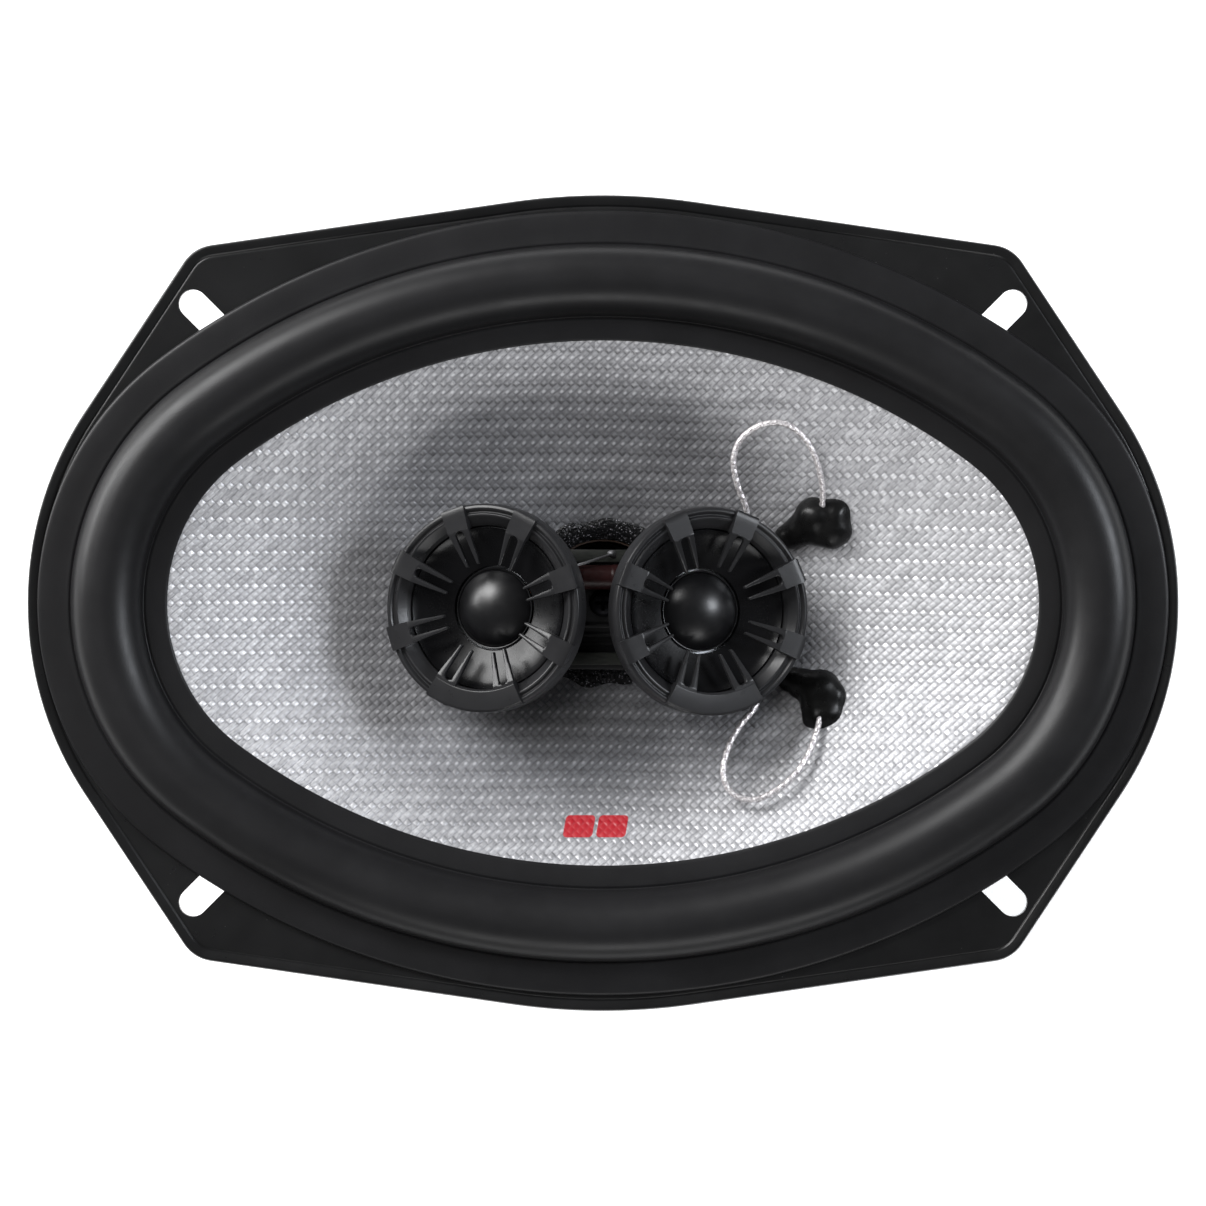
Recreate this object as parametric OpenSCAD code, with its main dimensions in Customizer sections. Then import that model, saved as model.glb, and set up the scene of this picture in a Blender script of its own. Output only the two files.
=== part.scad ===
// Oval coaxial car loudspeaker: one woofer cone with two small dome tweeters on a bridge.
// Origin: centre of the mounting flange's back face. +Z looks out of the front,
// X runs along the long side, Y along the short side. Millimetres.

/* [Mounting frame] */
// Length of the mounting flange
flange_l = 235; // [233:0.5:237]
// Width of the mounting flange
flange_w = 166.6; // [165:0.2:168]
// Thickness of the flange with its rolled edge
flange_t = 2.4; // [2:0.1:3]
// Width of each diagonal mounting slot
slot_w = 5.8; // [4.5:0.1:6]
// Length of each mounting slot between its end arc centres
slot_run = 6; // [5:0.5:7]
// Sheet thickness of the pressed basket
sheet_t = 1.5; // [1.2:0.1:2]

/* [Woofer cone] */
// Length of the visible cone
cone_l = 178; // [176:0.5:180]
// Width of the visible cone
cone_w = 107.2; // [106:0.2:108]
// Radius of the round ends of the cone's oval
cone_end_r = 36; // [34:0.5:38]
// Height of the cone from its neck to its rim
cone_depth = 31.6; // [29:0.2:33]
// Thickness of the woven cone
cone_t = 0.8; // [0.6:0.1:1]
// How far the cone travels each way
cone_travel = 5; // [3:0.5:5]

/* [Rubber surround] */
// Width of the strip that is glued to the cone
strip_w = 5; // [4.5:0.1:5.5]
// Width of the half roll
roll_w = 14.4; // [13.5:0.1:15]
// Height of the half roll
roll_h = 7.6; // [6:0.1:8]
// Width of the lip that is glued to the flange
lip_w = 7.2; // [6.5:0.1:7.4]

/* [Motor] */
// Outer diameter of the ferrite magnet
magnet_d = 90; // [86:1:92]
// Height of the ferrite magnet
magnet_h = 15; // [12:0.5:16]
// Thickness of the two steel plates
plate_t = 5; // [4:0.5:6]
// Inner diameter of the voice coil former
former_d = 26; // [25:0.1:27]
// Thickness of the rubber boot round the magnet
boot_t = 2; // [1.5:0.1:2.5]

/* [Tweeters] */
// Distance between the two tweeter faces
tweeter_spacing = 47.6; // [47:0.1:49]
// How far each tweeter leans outwards
tweeter_tilt = 21; // [18:0.5:23]
// Diameter of the tweeter bezel
bezel_d = 42.6; // [42:0.1:43]
// Height of the middle of each tweeter face above the flange's back
face_z = 6; // [5.5:0.1:8]
// Diameter of the tweeter dome
dome_d = 16; // [15:0.1:16.2]

/* [Hidden] */
$fn = 96;

// Four-centre oval of the visible cone; every other oval is an offset of it.
oval_a = cone_l / 2;
oval_b = cone_w / 2;
end_x = oval_a - cone_end_r;
side_r = (end_x * end_x + oval_b * oval_b - cone_end_r * cone_end_r) / (2 * (oval_b - cone_end_r));
side_y = side_r - oval_b;
join_angle = atan2(side_y, end_x);

slices = 72;

// Offsets from the visible cone's edge
roll_out = strip_w + roll_w;
lip_out = roll_out + lip_w;
rim_out = strip_w - 0.2;
hole_out = roll_out - 1.9;
ledge_in = 10;

// Heights, counted from the flange's back face
rim_z = 1.6;
neck_z = rim_z - cone_depth;
ledge_z = -16;
landing_z = -42;
cup_z = -54;
plate_z = cup_z - sheet_t;
magnet_z = plate_z - plate_t;
back_z = magnet_z - magnet_h;
rest_z = back_z - plate_t - boot_t;
bridge_z = -14;

// Motor and basket radii; the winding is tall enough to stay in the gap over the whole travel
former_r = former_d / 2;
former_t = 0.3;
former_out = former_r + former_t;
winding_t = 0.8;
winding_h = 2 * cone_travel + 2;
pole_r = former_r - 0.5;
gap_r = former_out + winding_t + 0.5;
plate_r = magnet_d / 2 - 3;
cup_r = 52;
landing_r = 41;
spider_r = 47;
post_r = 6;
shank_r = 3;
shank_l = 8;
screw_r = 1.6;
screw_head_r = 2.9;
rivet_ring_r = 34;
rivet_r = 2;
rivet_l = 3;

// Flange outline: a shallow crown, four rounded ears and two round ends
top_slope = 8.2;
side_slope = 56.5;
crown_r = 130;
ear_r = 8;
end_r = 70;
end_y = 21.4;
crown_y = flange_w / 2 + crown_r * (1 / cos(top_slope) - 1);
ear_x = (end_y + flange_l / 2 * tan(side_slope) - crown_y) / (tan(side_slope) - tan(top_slope));
ear_y = crown_y - ear_x * tan(top_slope);
slot_x = 83.7;
slot_y = 61.1;

// Basket legs
leg_angles = [24, 66, 114, 156, 204, 246, 294, 336];
leg_w = 12;
leg_run = 2.6;

// Terminal board on the right end of the basket
board_x = 53;
board_l = 16;
board_w = 28;
board_t = 1.6;
spade_t = 0.8;
spade_y = 7;
spade_x = 56;
spade_l = 20;
eyelet_x = 60;
eyelet_r = 1.5;
eyelet_rim_r = 2.4;
eyelet_rim_t = 0.6;

// The bridge stands slightly off the middle and slightly turned
bridge_x = -1.15;
bridge_y = -1.35;
bridge_turn = -0.8;
bridge_w = 16;
block_w = 18;
block_h = 6;
strip_gap = 1.5;
strip_l = 24;
strip_left = 13;
strip_t = 1;
bezel_r = bezel_d / 2;
bezel_h = 5;
well_r = 16.9;
housing_h = 16;
housing_r = 11.5;
dome_r = dome_d / 2;
dome_h = 4;
dome_depth = 7.9;
yoke_depth = 9.5;
yoke_r = 10;
yoke_t = 1.5;
yoke_z = 1.4 - housing_h;
plate_top_z = -yoke_depth - 0.2;
plate_low_z = plate_top_z - 1.2;
claw_r = 9;
claw_w = 5.2;
claw_tip_w = 3;
claw_slot_w = 2;
claw_slot_r = 16.4;
claw_t = 1.2;
claw_slope = 19;
tab_t = 2.4;
tab_r = bezel_r - 0.1;
plate_span = 60;
left_twist = -4;
right_twist = 2;

// Tinsel leads: hand-laid routes
lead_d = 1.1;
upper_route = [
    [45, 18.5, -9.5], [45.2, 21.5, -7.5], [45, 24.5, -5.5], [44, 28.5, -3.5], [42.5, 32, -2],
    [40, 35, -1], [37, 36.7, -0.5], [33.5, 36.7, -0.5], [30.5, 35.5, -1], [28, 33.2, -1.5],
    [26.8, 30, -2.2], [27, 26.5, -3.2], [28, 23, -4.5], [29.3, 20, -6], [29.5, 17.5, -7.8],
    [27.5, 15.7, -9.2], [24.5, 14.8, -10.2], [21, 14.2, -10.8], [17.5, 13.2, -11],
    [14.2, 11.5, -10.2], [11.9, 10.4, -9.2], [9.8, 9.7, -9], [8.7, 9.5, -9.7],
    [8.5, 9.5, -10.6], [8.5, 9.5, -11.5]
];
lower_route = [
    [44.2, -21, -9.5], [44.5, -24, -7.5], [43.5, -27.5, -5.5], [42.2, -30.8, -4],
    [40.2, -34, -2.5], [37.5, -36.8, -1.5], [34.3, -39, -1], [31, -40.2, -0.8],
    [27.8, -39.8, -1], [25.4, -37.6, -1.5], [24.6, -34.4, -2], [25.2, -31, -2.8],
    [26.6, -27.6, -3.8], [28.6, -24.6, -5], [31, -21.8, -6.5], [32, -19, -8],
    [30.5, -16.6, -9.2], [27.5, -15.6, -10], [24, -15.2, -10.6], [20.5, -14.6, -11],
    [17, -13.6, -11.1], [14.2, -12.4, -10.3], [11.9, -11.8, -9.3], [9.8, -11.5, -9],
    [8.7, -11.5, -9.7], [8.5, -11.5, -10.6], [8.5, -11.5, -11.5]
];
positive_route = [
    [56.9, 7, -39.6], [56.9, 7, -38.4], [57.6, 7.2, -37], [59.4, 7.8, -35.8],
    [61.4, 9, -34.4], [62.6, 10.6, -32.4], [62.4, 12.6, -30], [60.8, 14.4, -27.6],
    [58, 15.7, -25.6], [54.8, 16.6, -23.4], [51.4, 17.1, -20.8], [48.2, 17.2, -18.2],
    [45.8, 17, -15.6]
];
negative_route = [
    [56.9, -7, -39.6], [56.9, -7, -38.4], [57.6, -7.2, -37], [59.4, -8, -35.8],
    [61.4, -9.4, -34.4], [62.4, -11.4, -32.4], [61.8, -13.6, -30], [59.8, -15.6, -27.8],
    [56.8, -17.1, -25.8], [53.4, -18.1, -23.6], [49.9, -18.8, -21], [46.6, -19.2, -18.2],
    [44.2, -19.4, -15.4]
];

// ---- Shared shapes ----

function unit(v) = v / norm(v);

// Points of the arc that rounds the convex corner b of an outline listed counter-clockwise
function corner_arc(a, b, c, r, steps = 8) =
    let (
        u = unit(a - b),
        w = unit(c - b),
        half = acos(u * w) / 2,
        middle = b + unit(u + w) * r / sin(half),
        first = b + u * r / tan(half) - middle,
        start = atan2(first[1], first[0]),
        sweep = 180 - 2 * half
    )
    [for (i = [0 : steps]) let(a = start + sweep * i / steps) middle + r * [cos(a), sin(a)]];

// An outline of corners [x, y, radius], listed counter-clockwise, with every corner rounded
function rounded_outline(corners) =
    let (n = len(corners))
    [
        for (i = [0 : n - 1])
            let (a = corners[(i + n - 1) % n], b = corners[i], c = corners[(i + 1) % n])
            each corner_arc([a[0], a[1]], [b[0], b[1]], [c[0], c[1]], b[2])
    ];

module flange_outline() {
    polygon(rounded_outline([
        [flange_l / 2, end_y, end_r],
        [ear_x, ear_y, ear_r],
        [0, crown_y, crown_r],
        [-ear_x, ear_y, ear_r],
        [-flange_l / 2, end_y, end_r],
        [-flange_l / 2, -end_y, end_r],
        [-ear_x, -ear_y, ear_r],
        [0, -crown_y, crown_r],
        [ear_x, -ear_y, ear_r],
        [flange_l / 2, -end_y, end_r]
    ]));
}

// Distance from the middle to the oval grown by out, in direction t
function oval_radius(t, out) =
    let (
        c = abs(cos(t)),
        s = abs(sin(t)),
        r1 = cone_end_r + out,
        r2 = side_r + out,
        at_end = end_x * c + sqrt(max(0, r1 * r1 - end_x * end_x * s * s)),
        at_side = -side_y * s + sqrt(r2 * r2 - side_y * side_y * c * c)
    )
    atan2(at_end * s, at_end * c - end_x) <= join_angle ? at_end : at_side;

// The point of the oval grown by out, in direction t, at height z
function oval_point(t, out, z) = [oval_radius(t, out) * cos(t), oval_radius(t, out) * sin(t), z];

// The cone's oval grown outwards by out
module oval(out) {
    polygon([
        for (s = [0 : slices - 1])
            let (t = s * 360 / slices)
            oval_radius(t, out) * [cos(t), sin(t)]
    ]);
}

// A closed ring through equal loops of points, one loop for each direction round the oval
module ring_loft(loops) {
    n = len(loops);
    m = len(loops[0]);
    polyhedron(
        points = [for (one = loops) each one],
        faces = [
            for (s = [0 : n - 1])
                for (k = [0 : m - 1])
                    let (
                        a = s * m + k,
                        b = s * m + (k + 1) % m,
                        c = ((s + 1) % n) * m + (k + 1) % m,
                        d = ((s + 1) % n) * m + k
                    )
                    each [[a, b, c], [a, c, d]]
        ]
    );
}

// Height of the cone's front face at a share f of the way from neck to rim
function cone_height(f) = neck_z + cone_depth * pow(f, 0.9);

module cylinder_between(r, z_low, z_high) {
    translate([0, 0, z_low]) cylinder(r = r, h = z_high - z_low);
}

module ring(r_in, r_out, z_low, z_high) {
    translate([0, 0, z_low])
        difference() {
            cylinder(r = r_out, h = z_high - z_low);
            translate([0, 0, -1]) cylinder(r = r_in, h = z_high - z_low + 2);
        }
}

// A flat disc with chamfered edges and an optional bore
module turned_plate(r_in, r_out, z_low, z_high, chamfer) {
    rotate_extrude()
        polygon([
            [r_in, z_low], [r_out - chamfer, z_low], [r_out, z_low + chamfer],
            [r_out, z_high - chamfer], [r_out - chamfer, z_high], [r_in, z_high]
        ]);
}

// Frames carried along a route without twisting
function route_tangent(p, i) = unit(p[min(i + 1, len(p) - 1)] - p[max(i - 1, 0)]);
function level(v, t) = unit(v - (v * t) * t);
function carried_normals(p, i, last) =
    i == len(p) ? [] :
    let (v = level(last, route_tangent(p, i)))
    concat([v], carried_normals(p, i + 1, v));

// A round cord of diameter d along the route p
module cord_tube(p, d) {
    sides = 8;
    n = len(p);
    normals = carried_normals(p, 0, [0.3, 0.2, 1]);
    rings = [
        for (i = [0 : n - 1])
            let (t = route_tangent(p, i), u = normals[i], w = cross(t, u))
            for (k = [0 : sides - 1])
                p[i] + d / 2 * (u * cos(k * 360 / sides) + w * sin(k * 360 / sides))
    ];
    walls = [
        for (i = [0 : n - 2])
            for (k = [0 : sides - 1])
                let (a = i * sides + k, b = i * sides + (k + 1) % sides)
                [a, a + sides, b + sides, b]
    ];
    first_cap = [for (k = [0 : sides - 1]) k];
    last_cap = [for (k = [sides - 1 : -1 : 0]) (n - 1) * sides + k];
    polyhedron(points = rings, faces = concat(walls, [first_cap], [last_cap]));
}

// Puts children in a tweeter's own frame: origin in its face, +Z out of the face
module at_tweeter(side) {
    translate([bridge_x, bridge_y, face_z])
        rotate([0, 0, bridge_turn])
        translate([side * tweeter_spacing / 2, 0, 0])
        rotate([0, side * tweeter_tilt, 0])
        children();
}

// ---- Basket and its terminal board ----

module basket_legs() {
    foot_r = cup_r - 0.6;
    for (t = leg_angles) {
        top_r = oval_radius(t, hole_out - 4);
        rotate([0, 0, t])
            translate([0, leg_w / 2, 0])
            rotate([90, 0, 0])
            linear_extrude(leg_w)
            polygon([
                [top_r - leg_run, ledge_z + sheet_t / 2], [top_r, ledge_z + sheet_t / 2],
                [foot_r, landing_z - sheet_t / 2], [foot_r - leg_run, landing_z - sheet_t / 2]
            ]);
    }
}

// The round pan of the basket: landing for the spider, wall and floor
module basket_cup() {
    wall_r = cup_r - sheet_t;
    floor_r = gap_r + 5;
    rotate_extrude()
        polygon([
            [landing_r, landing_z - sheet_t], [wall_r, landing_z - sheet_t], [wall_r, cup_z],
            [floor_r, cup_z], [floor_r, plate_z], [cup_r, plate_z],
            [cup_r, landing_z], [landing_r, landing_z]
        ]);
}

module mounting_slots() {
    for (sx = [-1, 1]) {
        for (sy = [-1, 1]) {
            translate([sx * slot_x, sy * slot_y, -1])
                rotate([0, 0, atan2(-sy, -sx)])
                linear_extrude(flange_t + 2) {
                    circle(d = slot_w);
                    translate([0, -slot_w / 2]) square([slot_run, slot_w]);
                    translate([slot_run, 0]) circle(d = slot_w);
                }
        }
    }
}

module basket() {
    color("#1b1b1d")
    difference() {
        union() {
            difference() {
                linear_extrude(flange_t) flange_outline();
                translate([0, 0, -1]) linear_extrude(flange_t + 2) oval(hole_out - sheet_t);
                mounting_slots();
            }
            translate([0, 0, ledge_z])
                linear_extrude(-ledge_z)
                difference() {
                    oval(hole_out);
                    oval(hole_out - sheet_t);
                }
            translate([0, 0, ledge_z])
                linear_extrude(sheet_t)
                difference() {
                    oval(hole_out);
                    oval(ledge_in);
                }
            basket_legs();
            basket_cup();
            translate([cup_r - 3, -board_w / 2 + 1, landing_z - sheet_t])
                cube([board_l, board_w - 2, sheet_t]);
        }
        for (i = [0 : 3]) {
            rotate([0, 0, 45 + i * 90])
                translate([rivet_ring_r, 0, plate_z - 1])
                cylinder(r = rivet_r, h = sheet_t + 2);
        }
        for (side = [-1, 1]) {
            translate([eyelet_x, side * spade_y, landing_z - sheet_t - 1])
                cylinder(r = eyelet_r, h = sheet_t + 2);
        }
    }
}

module basket_rivets() {
    color("#8d8f92")
    for (i = [0 : 3]) {
        rotate([0, 0, 45 + i * 90])
            translate([rivet_ring_r, 0, 0]) {
                translate([0, 0, plate_z - rivet_l]) cylinder(r = rivet_r, h = sheet_t + rivet_l);
                translate([0, 0, cup_z])
                    rotate_extrude()
                    polygon([[0, 0], [3.4, 0], [3.2, 0.7], [2.2, 1.3], [0, 1.5]]);
            }
    }
}

module terminal_board() {
    color("#6b4a2a")
    difference() {
        translate([board_x, -board_w / 2, landing_z]) cube([board_l, board_w, board_t]);
        for (side = [-1, 1]) {
            translate([eyelet_x, side * spade_y, landing_z - 1]) cylinder(r = eyelet_r, h = board_t + 2);
        }
    }
}

module terminal_rivets() {
    bore_r = 0.7;
    under = landing_z - sheet_t;
    above = landing_z + board_t + spade_t;
    color("#b9a05a")
    for (side = [-1, 1]) {
        translate([eyelet_x, side * spade_y, 0])
            rotate_extrude()
            polygon([
                [bore_r, under - eyelet_rim_t], [eyelet_rim_r, under - eyelet_rim_t],
                [eyelet_rim_r, under], [eyelet_r, under],
                [eyelet_r, above], [eyelet_rim_r, above],
                [eyelet_rim_r - 0.2, above + eyelet_rim_t], [bore_r, above + eyelet_rim_t]
            ]);
    }
}

// A push-on spade of width w at y, with a square tail round its eyelet
module spade(y, w) {
    tail = 3;
    tip_x = spade_x + spade_l;
    translate([0, y, landing_z + board_t])
        difference() {
            linear_extrude(spade_t)
                polygon([
                    [spade_x, -tail], [eyelet_x + 4, -tail], [eyelet_x + 6, -w / 2],
                    [tip_x - 1, -w / 2], [tip_x, 1 - w / 2],
                    [tip_x, w / 2 - 1], [tip_x - 1, w / 2],
                    [eyelet_x + 6, w / 2], [eyelet_x + 4, tail], [spade_x, tail]
                ]);
            translate([eyelet_x, 0, -1]) cylinder(r = eyelet_r, h = spade_t + 2);
            translate([tip_x - 3, 0, -1]) cylinder(r = 0.8, h = spade_t + 2);
        }
}

module positive_terminal() {
    color("#c9b26b") spade(spade_y, 6.3);
}

module negative_terminal() {
    color("#c9c9cc") spade(-spade_y, 4.8);
}

// ---- Magnet motor ----

module top_plate() {
    color("#7d8084")
    difference() {
        turned_plate(gap_r, plate_r, magnet_z, plate_z, 0.6);
        for (i = [0 : 3]) {
            rotate([0, 0, 45 + i * 90])
                translate([rivet_ring_r, 0, plate_z - rivet_l])
                cylinder(r = rivet_r, h = rivet_l + 1);
        }
    }
}

module ferrite_magnet() {
    color("#2f3032")
    turned_plate(former_r + 9, magnet_d / 2, back_z, magnet_z, 0.8);
}

module back_plate_and_pole() {
    color("#85888c") {
        difference() {
            union() {
                turned_plate(0, plate_r, back_z - plate_t, back_z, 0.6);
                turned_plate(0, pole_r, back_z - 0.1, plate_z + 1, 0.4);
            }
            translate([0, 0, plate_z - shank_l - 1]) cylinder(r = shank_r, h = shank_l + 4);
        }
    }
}

module magnet_boot() {
    boot_r = magnet_d / 2 + 0.1;
    color("#1d1d1f")
    rotate_extrude()
        polygon([
            [0, rest_z], [boot_r + boot_t - 2, rest_z], [boot_r + boot_t, rest_z + 2],
            [boot_r + boot_t, magnet_z - 1], [boot_r + boot_t - 0.8, magnet_z - 0.2],
            [boot_r, magnet_z - 0.2], [boot_r, rest_z + boot_t], [0, rest_z + boot_t]
        ]);
}

module dust_seal() {
    color("#2b2b2d") ring(post_r, pole_r + 0.1, plate_z + 1, plate_z + 5);
}

// ---- Bridge that carries the tweeters ----

module bridge_post() {
    color("#202022")
    difference() {
        union() {
            cylinder_between(shank_r, plate_z - shank_l, plate_z + 1);
            cylinder_between(post_r, plate_z + 1, bridge_z - block_h);
        }
        translate([0, 0, bridge_z - block_h - 8]) cylinder(r = screw_r, h = 9);
    }
}

module post_screw() {
    color("#161617")
    translate([0, 0, bridge_z]) {
        difference() {
            rotate_extrude()
                polygon([
                    [0, 0], [screw_head_r, 0], [screw_head_r - 0.1, 0.9],
                    [screw_head_r - 0.6, 1.7], [screw_head_r - 1.5, 2.1], [0, 2.2]
                ]);
            for (turn = [0, 90]) {
                rotate([0, 0, turn]) translate([-1.6, -0.35, 1.2]) cube([3.2, 0.7, 2]);
            }
        }
        translate([0, 0, -block_h - 6]) cylinder(r = screw_r, h = block_h + 6);
    }
}

// Middle plane of a tweeter housing's bottom, as a height above x on the right side
function housing_floor(x) =
    let (
        foot_x = tweeter_spacing / 2 - housing_h * sin(tweeter_tilt),
        foot_z = face_z - housing_h * cos(tweeter_tilt)
    )
    foot_z - (x - foot_x) * tan(tweeter_tilt);

// A step along one long side of the block that holds a tag strip clear of it
module bridge_shelf() {
    edge = block_w / 2;
    reach = 3.4;
    translate([1 - edge, 0, bridge_z])
        rotate([90, 0, 90])
        linear_extrude(block_w - 2)
        polygon([
            [edge - 1, -3], [edge + reach, -3], [edge + reach, strip_gap],
            [edge + 0.6, strip_gap], [edge + 0.6, 0], [edge - 1, 0]
        ]);
}

module tweeter_bridge() {
    arm_in = 10;
    arm_out = 27;
    arm_t = 2.6;
    color("#242426")
    difference() {
        translate([bridge_x, bridge_y, 0])
            rotate([0, 0, bridge_turn]) {
                translate([-block_w / 2, -block_w / 2, bridge_z - block_h])
                    cube([block_w, block_w, block_h]);
                for (side = [0, 1]) {
                    mirror([0, side]) bridge_shelf();
                }
                translate([0, bridge_w / 2, 0])
                    rotate([90, 0, 0])
                    linear_extrude(bridge_w)
                    for (side = [0, 1]) {
                        mirror([side, 0])
                            polygon([
                                [block_w / 2 - 3, bridge_z - block_h + 2],
                                [arm_out, housing_floor(arm_out) - arm_t],
                                [arm_out, housing_floor(arm_out)],
                                [arm_in, housing_floor(arm_in)],
                                [block_w / 2 - 1, bridge_z - 1],
                                [block_w / 2 - 3, bridge_z - 1]
                            ]);
                    }
            }
        translate([0, 0, bridge_z - block_h - 1]) cylinder(r = screw_r, h = block_h + 2);
    }
}

module capacitor() {
    cap_r = 2.7;
    cap_l = 11;
    cap_y = 5.3;
    color("#6e2f2c")
    translate([bridge_x - cap_l / 2, cap_y, bridge_z + cap_r])
        rotate([0, 90, 0])
        rotate_extrude()
        polygon([
            [0, 0], [cap_r - 1, 0], [cap_r - 0.3, 0.4], [cap_r, 1.2],
            [cap_r, cap_l - 1.2], [cap_r - 0.3, cap_l - 0.4], [cap_r - 1, cap_l], [0, cap_l]
        ]);
    color("#b5b7ba")
    for (side = [-1, 1]) {
        translate([bridge_x + side * (cap_l / 2 + 1), cap_y, bridge_z + cap_r])
            rotate([0, side * 90, 0])
            translate([0, 0, -1.2])
            cylinder(r = 0.3, h = 2.6);
    }
}

// A strip of circuit board along one side of the bridge block
module tag_strip(y_low, y_high) {
    translate([bridge_x - strip_left, y_low, bridge_z + strip_gap])
        cube([strip_l, y_high - y_low, strip_t]);
}

module upper_tag_strip() {
    color("#6f7568") tag_strip(8.4, 11);
}

module lower_tag_strip() {
    color("#3c403a") tag_strip(-12.8, -10.2);
}

// ---- Tweeters ----

module tweeter_housing(side) {
    lip_z = -bezel_h;
    color("#1d1d1f")
    at_tweeter(side)
        rotate_extrude()
        polygon([
            [0, -housing_h], [housing_r, -housing_h], [bezel_r - 3, lip_z - 4],
            [bezel_r - 0.8, lip_z - 2.5], [bezel_r - 0.8, lip_z], [well_r, lip_z],
            [well_r, -yoke_depth], [yoke_r, -yoke_depth],
            [yoke_r, yoke_z], [0, yoke_z]
        ]);
}

// One claw: a solid tab at the rim that splits into two thin fins reaching inwards
module bezel_claw() {
    intersection() {
        translate([0, 0, -tab_t]) cylinder(r = tab_r, h = tab_t);
        translate([claw_slot_r, -claw_w / 2, -tab_t - 1]) cube([6, claw_w, tab_t + 2]);
    }
    translate([claw_slot_r, 0, -0.15])
        rotate([0, -claw_slope, 0])
        translate([-claw_slot_r, 0, -claw_t])
        linear_extrude(claw_t)
        for (flip = [0, 1]) {
            mirror([0, flip])
                polygon([
                    [claw_r, claw_slot_w / 2], [claw_slot_r + 0.4, claw_slot_w / 2],
                    [claw_slot_r + 0.4, claw_w / 2 - 0.3], [claw_r, claw_tip_w / 2]
                ]);
        }
}

module tweeter_bezel(side, twist) {
    color("#4a4a4c")
    at_tweeter(side)
        rotate([0, 0, twist]) {
            rotate_extrude()
                polygon([
                    [well_r, -bezel_h], [bezel_r, -bezel_h], [bezel_r, -1.6], [bezel_r - 0.5, -0.9],
                    [bezel_r - 1.1, -0.8], [bezel_r - 1.5, -1.4], [bezel_r - 2, -1.1],
                    [bezel_r - 2.4, -1.3], [well_r + 0.4, -2.9], [well_r, -3.4]
                ]);
            for (i = [0 : 7]) {
                rotate([0, 0, 22.5 + 45 * i]) bezel_claw();
            }
            rotate([0, 0, 270 - plate_span / 2])
                rotate_extrude(angle = plate_span)
                translate([claw_slot_r + 0.2, -tab_t])
                square([tab_r - claw_slot_r - 0.2, tab_t]);
        }
}

module waveguide(side) {
    mouth_r = dome_r + 0.6;
    mouth_z = -dome_depth + 0.3;
    horn_r = well_r - 0.2;
    horn_z = -3.6;
    steps = 8;
    color("#141416")
    at_tweeter(side)
        rotate_extrude()
        polygon(concat(
            [[mouth_r, -yoke_depth + 0.1], [horn_r, -yoke_depth + 0.1], [horn_r, horn_z]],
            [
                for (i = [0 : steps])
                    let (f = i / steps)
                    [
                        horn_r - 0.4 + (mouth_r - horn_r + 0.4) * f,
                        horn_z + (mouth_z - horn_z) * pow(f, 0.75)
                    ]
            ]
        ));
}

module tweeter_yoke(side) {
    color("#8a8d90")
    at_tweeter(side)
        rotate_extrude()
        polygon([
            [0, yoke_z], [yoke_r - 0.5, yoke_z], [yoke_r, yoke_z + 0.5],
            [yoke_r, -yoke_depth], [dome_r, -yoke_depth],
            [dome_r, yoke_z + yoke_t], [0, yoke_z + yoke_t]
        ]);
}

module tweeter_magnet(side) {
    color("#b0b2b5")
    at_tweeter(side) cylinder_between(dome_r - 1.8, yoke_z + yoke_t, plate_low_z);
}

module pole_plate(side) {
    color("#9b9da0")
    at_tweeter(side) cylinder_between(dome_r - 1.5, plate_low_z, plate_top_z);
}

module dome(side) {
    shell = 0.4;
    cap_r = (dome_r * dome_r + dome_h * dome_h) / (2 * dome_h);
    color("#101012")
    at_tweeter(side)
        translate([0, 0, -dome_depth]) {
            difference() {
                intersection() {
                    translate([0, 0, dome_h - cap_r]) sphere(r = cap_r);
                    cylinder(r = dome_r + 1, h = dome_h + 1);
                }
                translate([0, 0, dome_h - cap_r]) sphere(r = cap_r - shell);
            }
            ring(dome_r - 1.2, dome_r + 0.3, -0.3, 0);
        }
}

module dome_coil(side) {
    color("#a8673a")
    at_tweeter(side) ring(dome_r - 1.1, dome_r - 0.6, -dome_depth - 3.2, -dome_depth - 0.3);
}

// ---- Moving cone ----

// The cone is a loft from a round neck to the oval, with a flat rim outside it
module cone() {
    shares = [0, 0.12, 0.28, 0.5, 0.75, 1];
    neck_r = former_out + 0.1;
    function spot(t, share, gap, drop) =
        let (r = neck_r + (oval_radius(t, 0) - neck_r) * share + gap)
        [r * cos(t), r * sin(t), cone_height(share) - drop];
    function front(t) = concat(
        [spot(t, 0, 0, 2)],
        [for (share = shares) spot(t, share, 0, 0)],
        [oval_point(t, rim_out, rim_z)]
    );
    function back(t) = concat(
        [oval_point(t, rim_out, rim_z - cone_t)],
        [for (i = [len(shares) - 1 : -1 : 1]) spot(t, shares[i], cone_t * 0.3, cone_t)],
        [spot(t, 0, cone_t, 0.6), spot(t, 0, cone_t, 2)]
    );
    color("#a9abad")
    ring_loft([for (s = [0 : slices - 1]) let (t = s * 360 / slices) concat(front(t), back(t))]);
}

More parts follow.
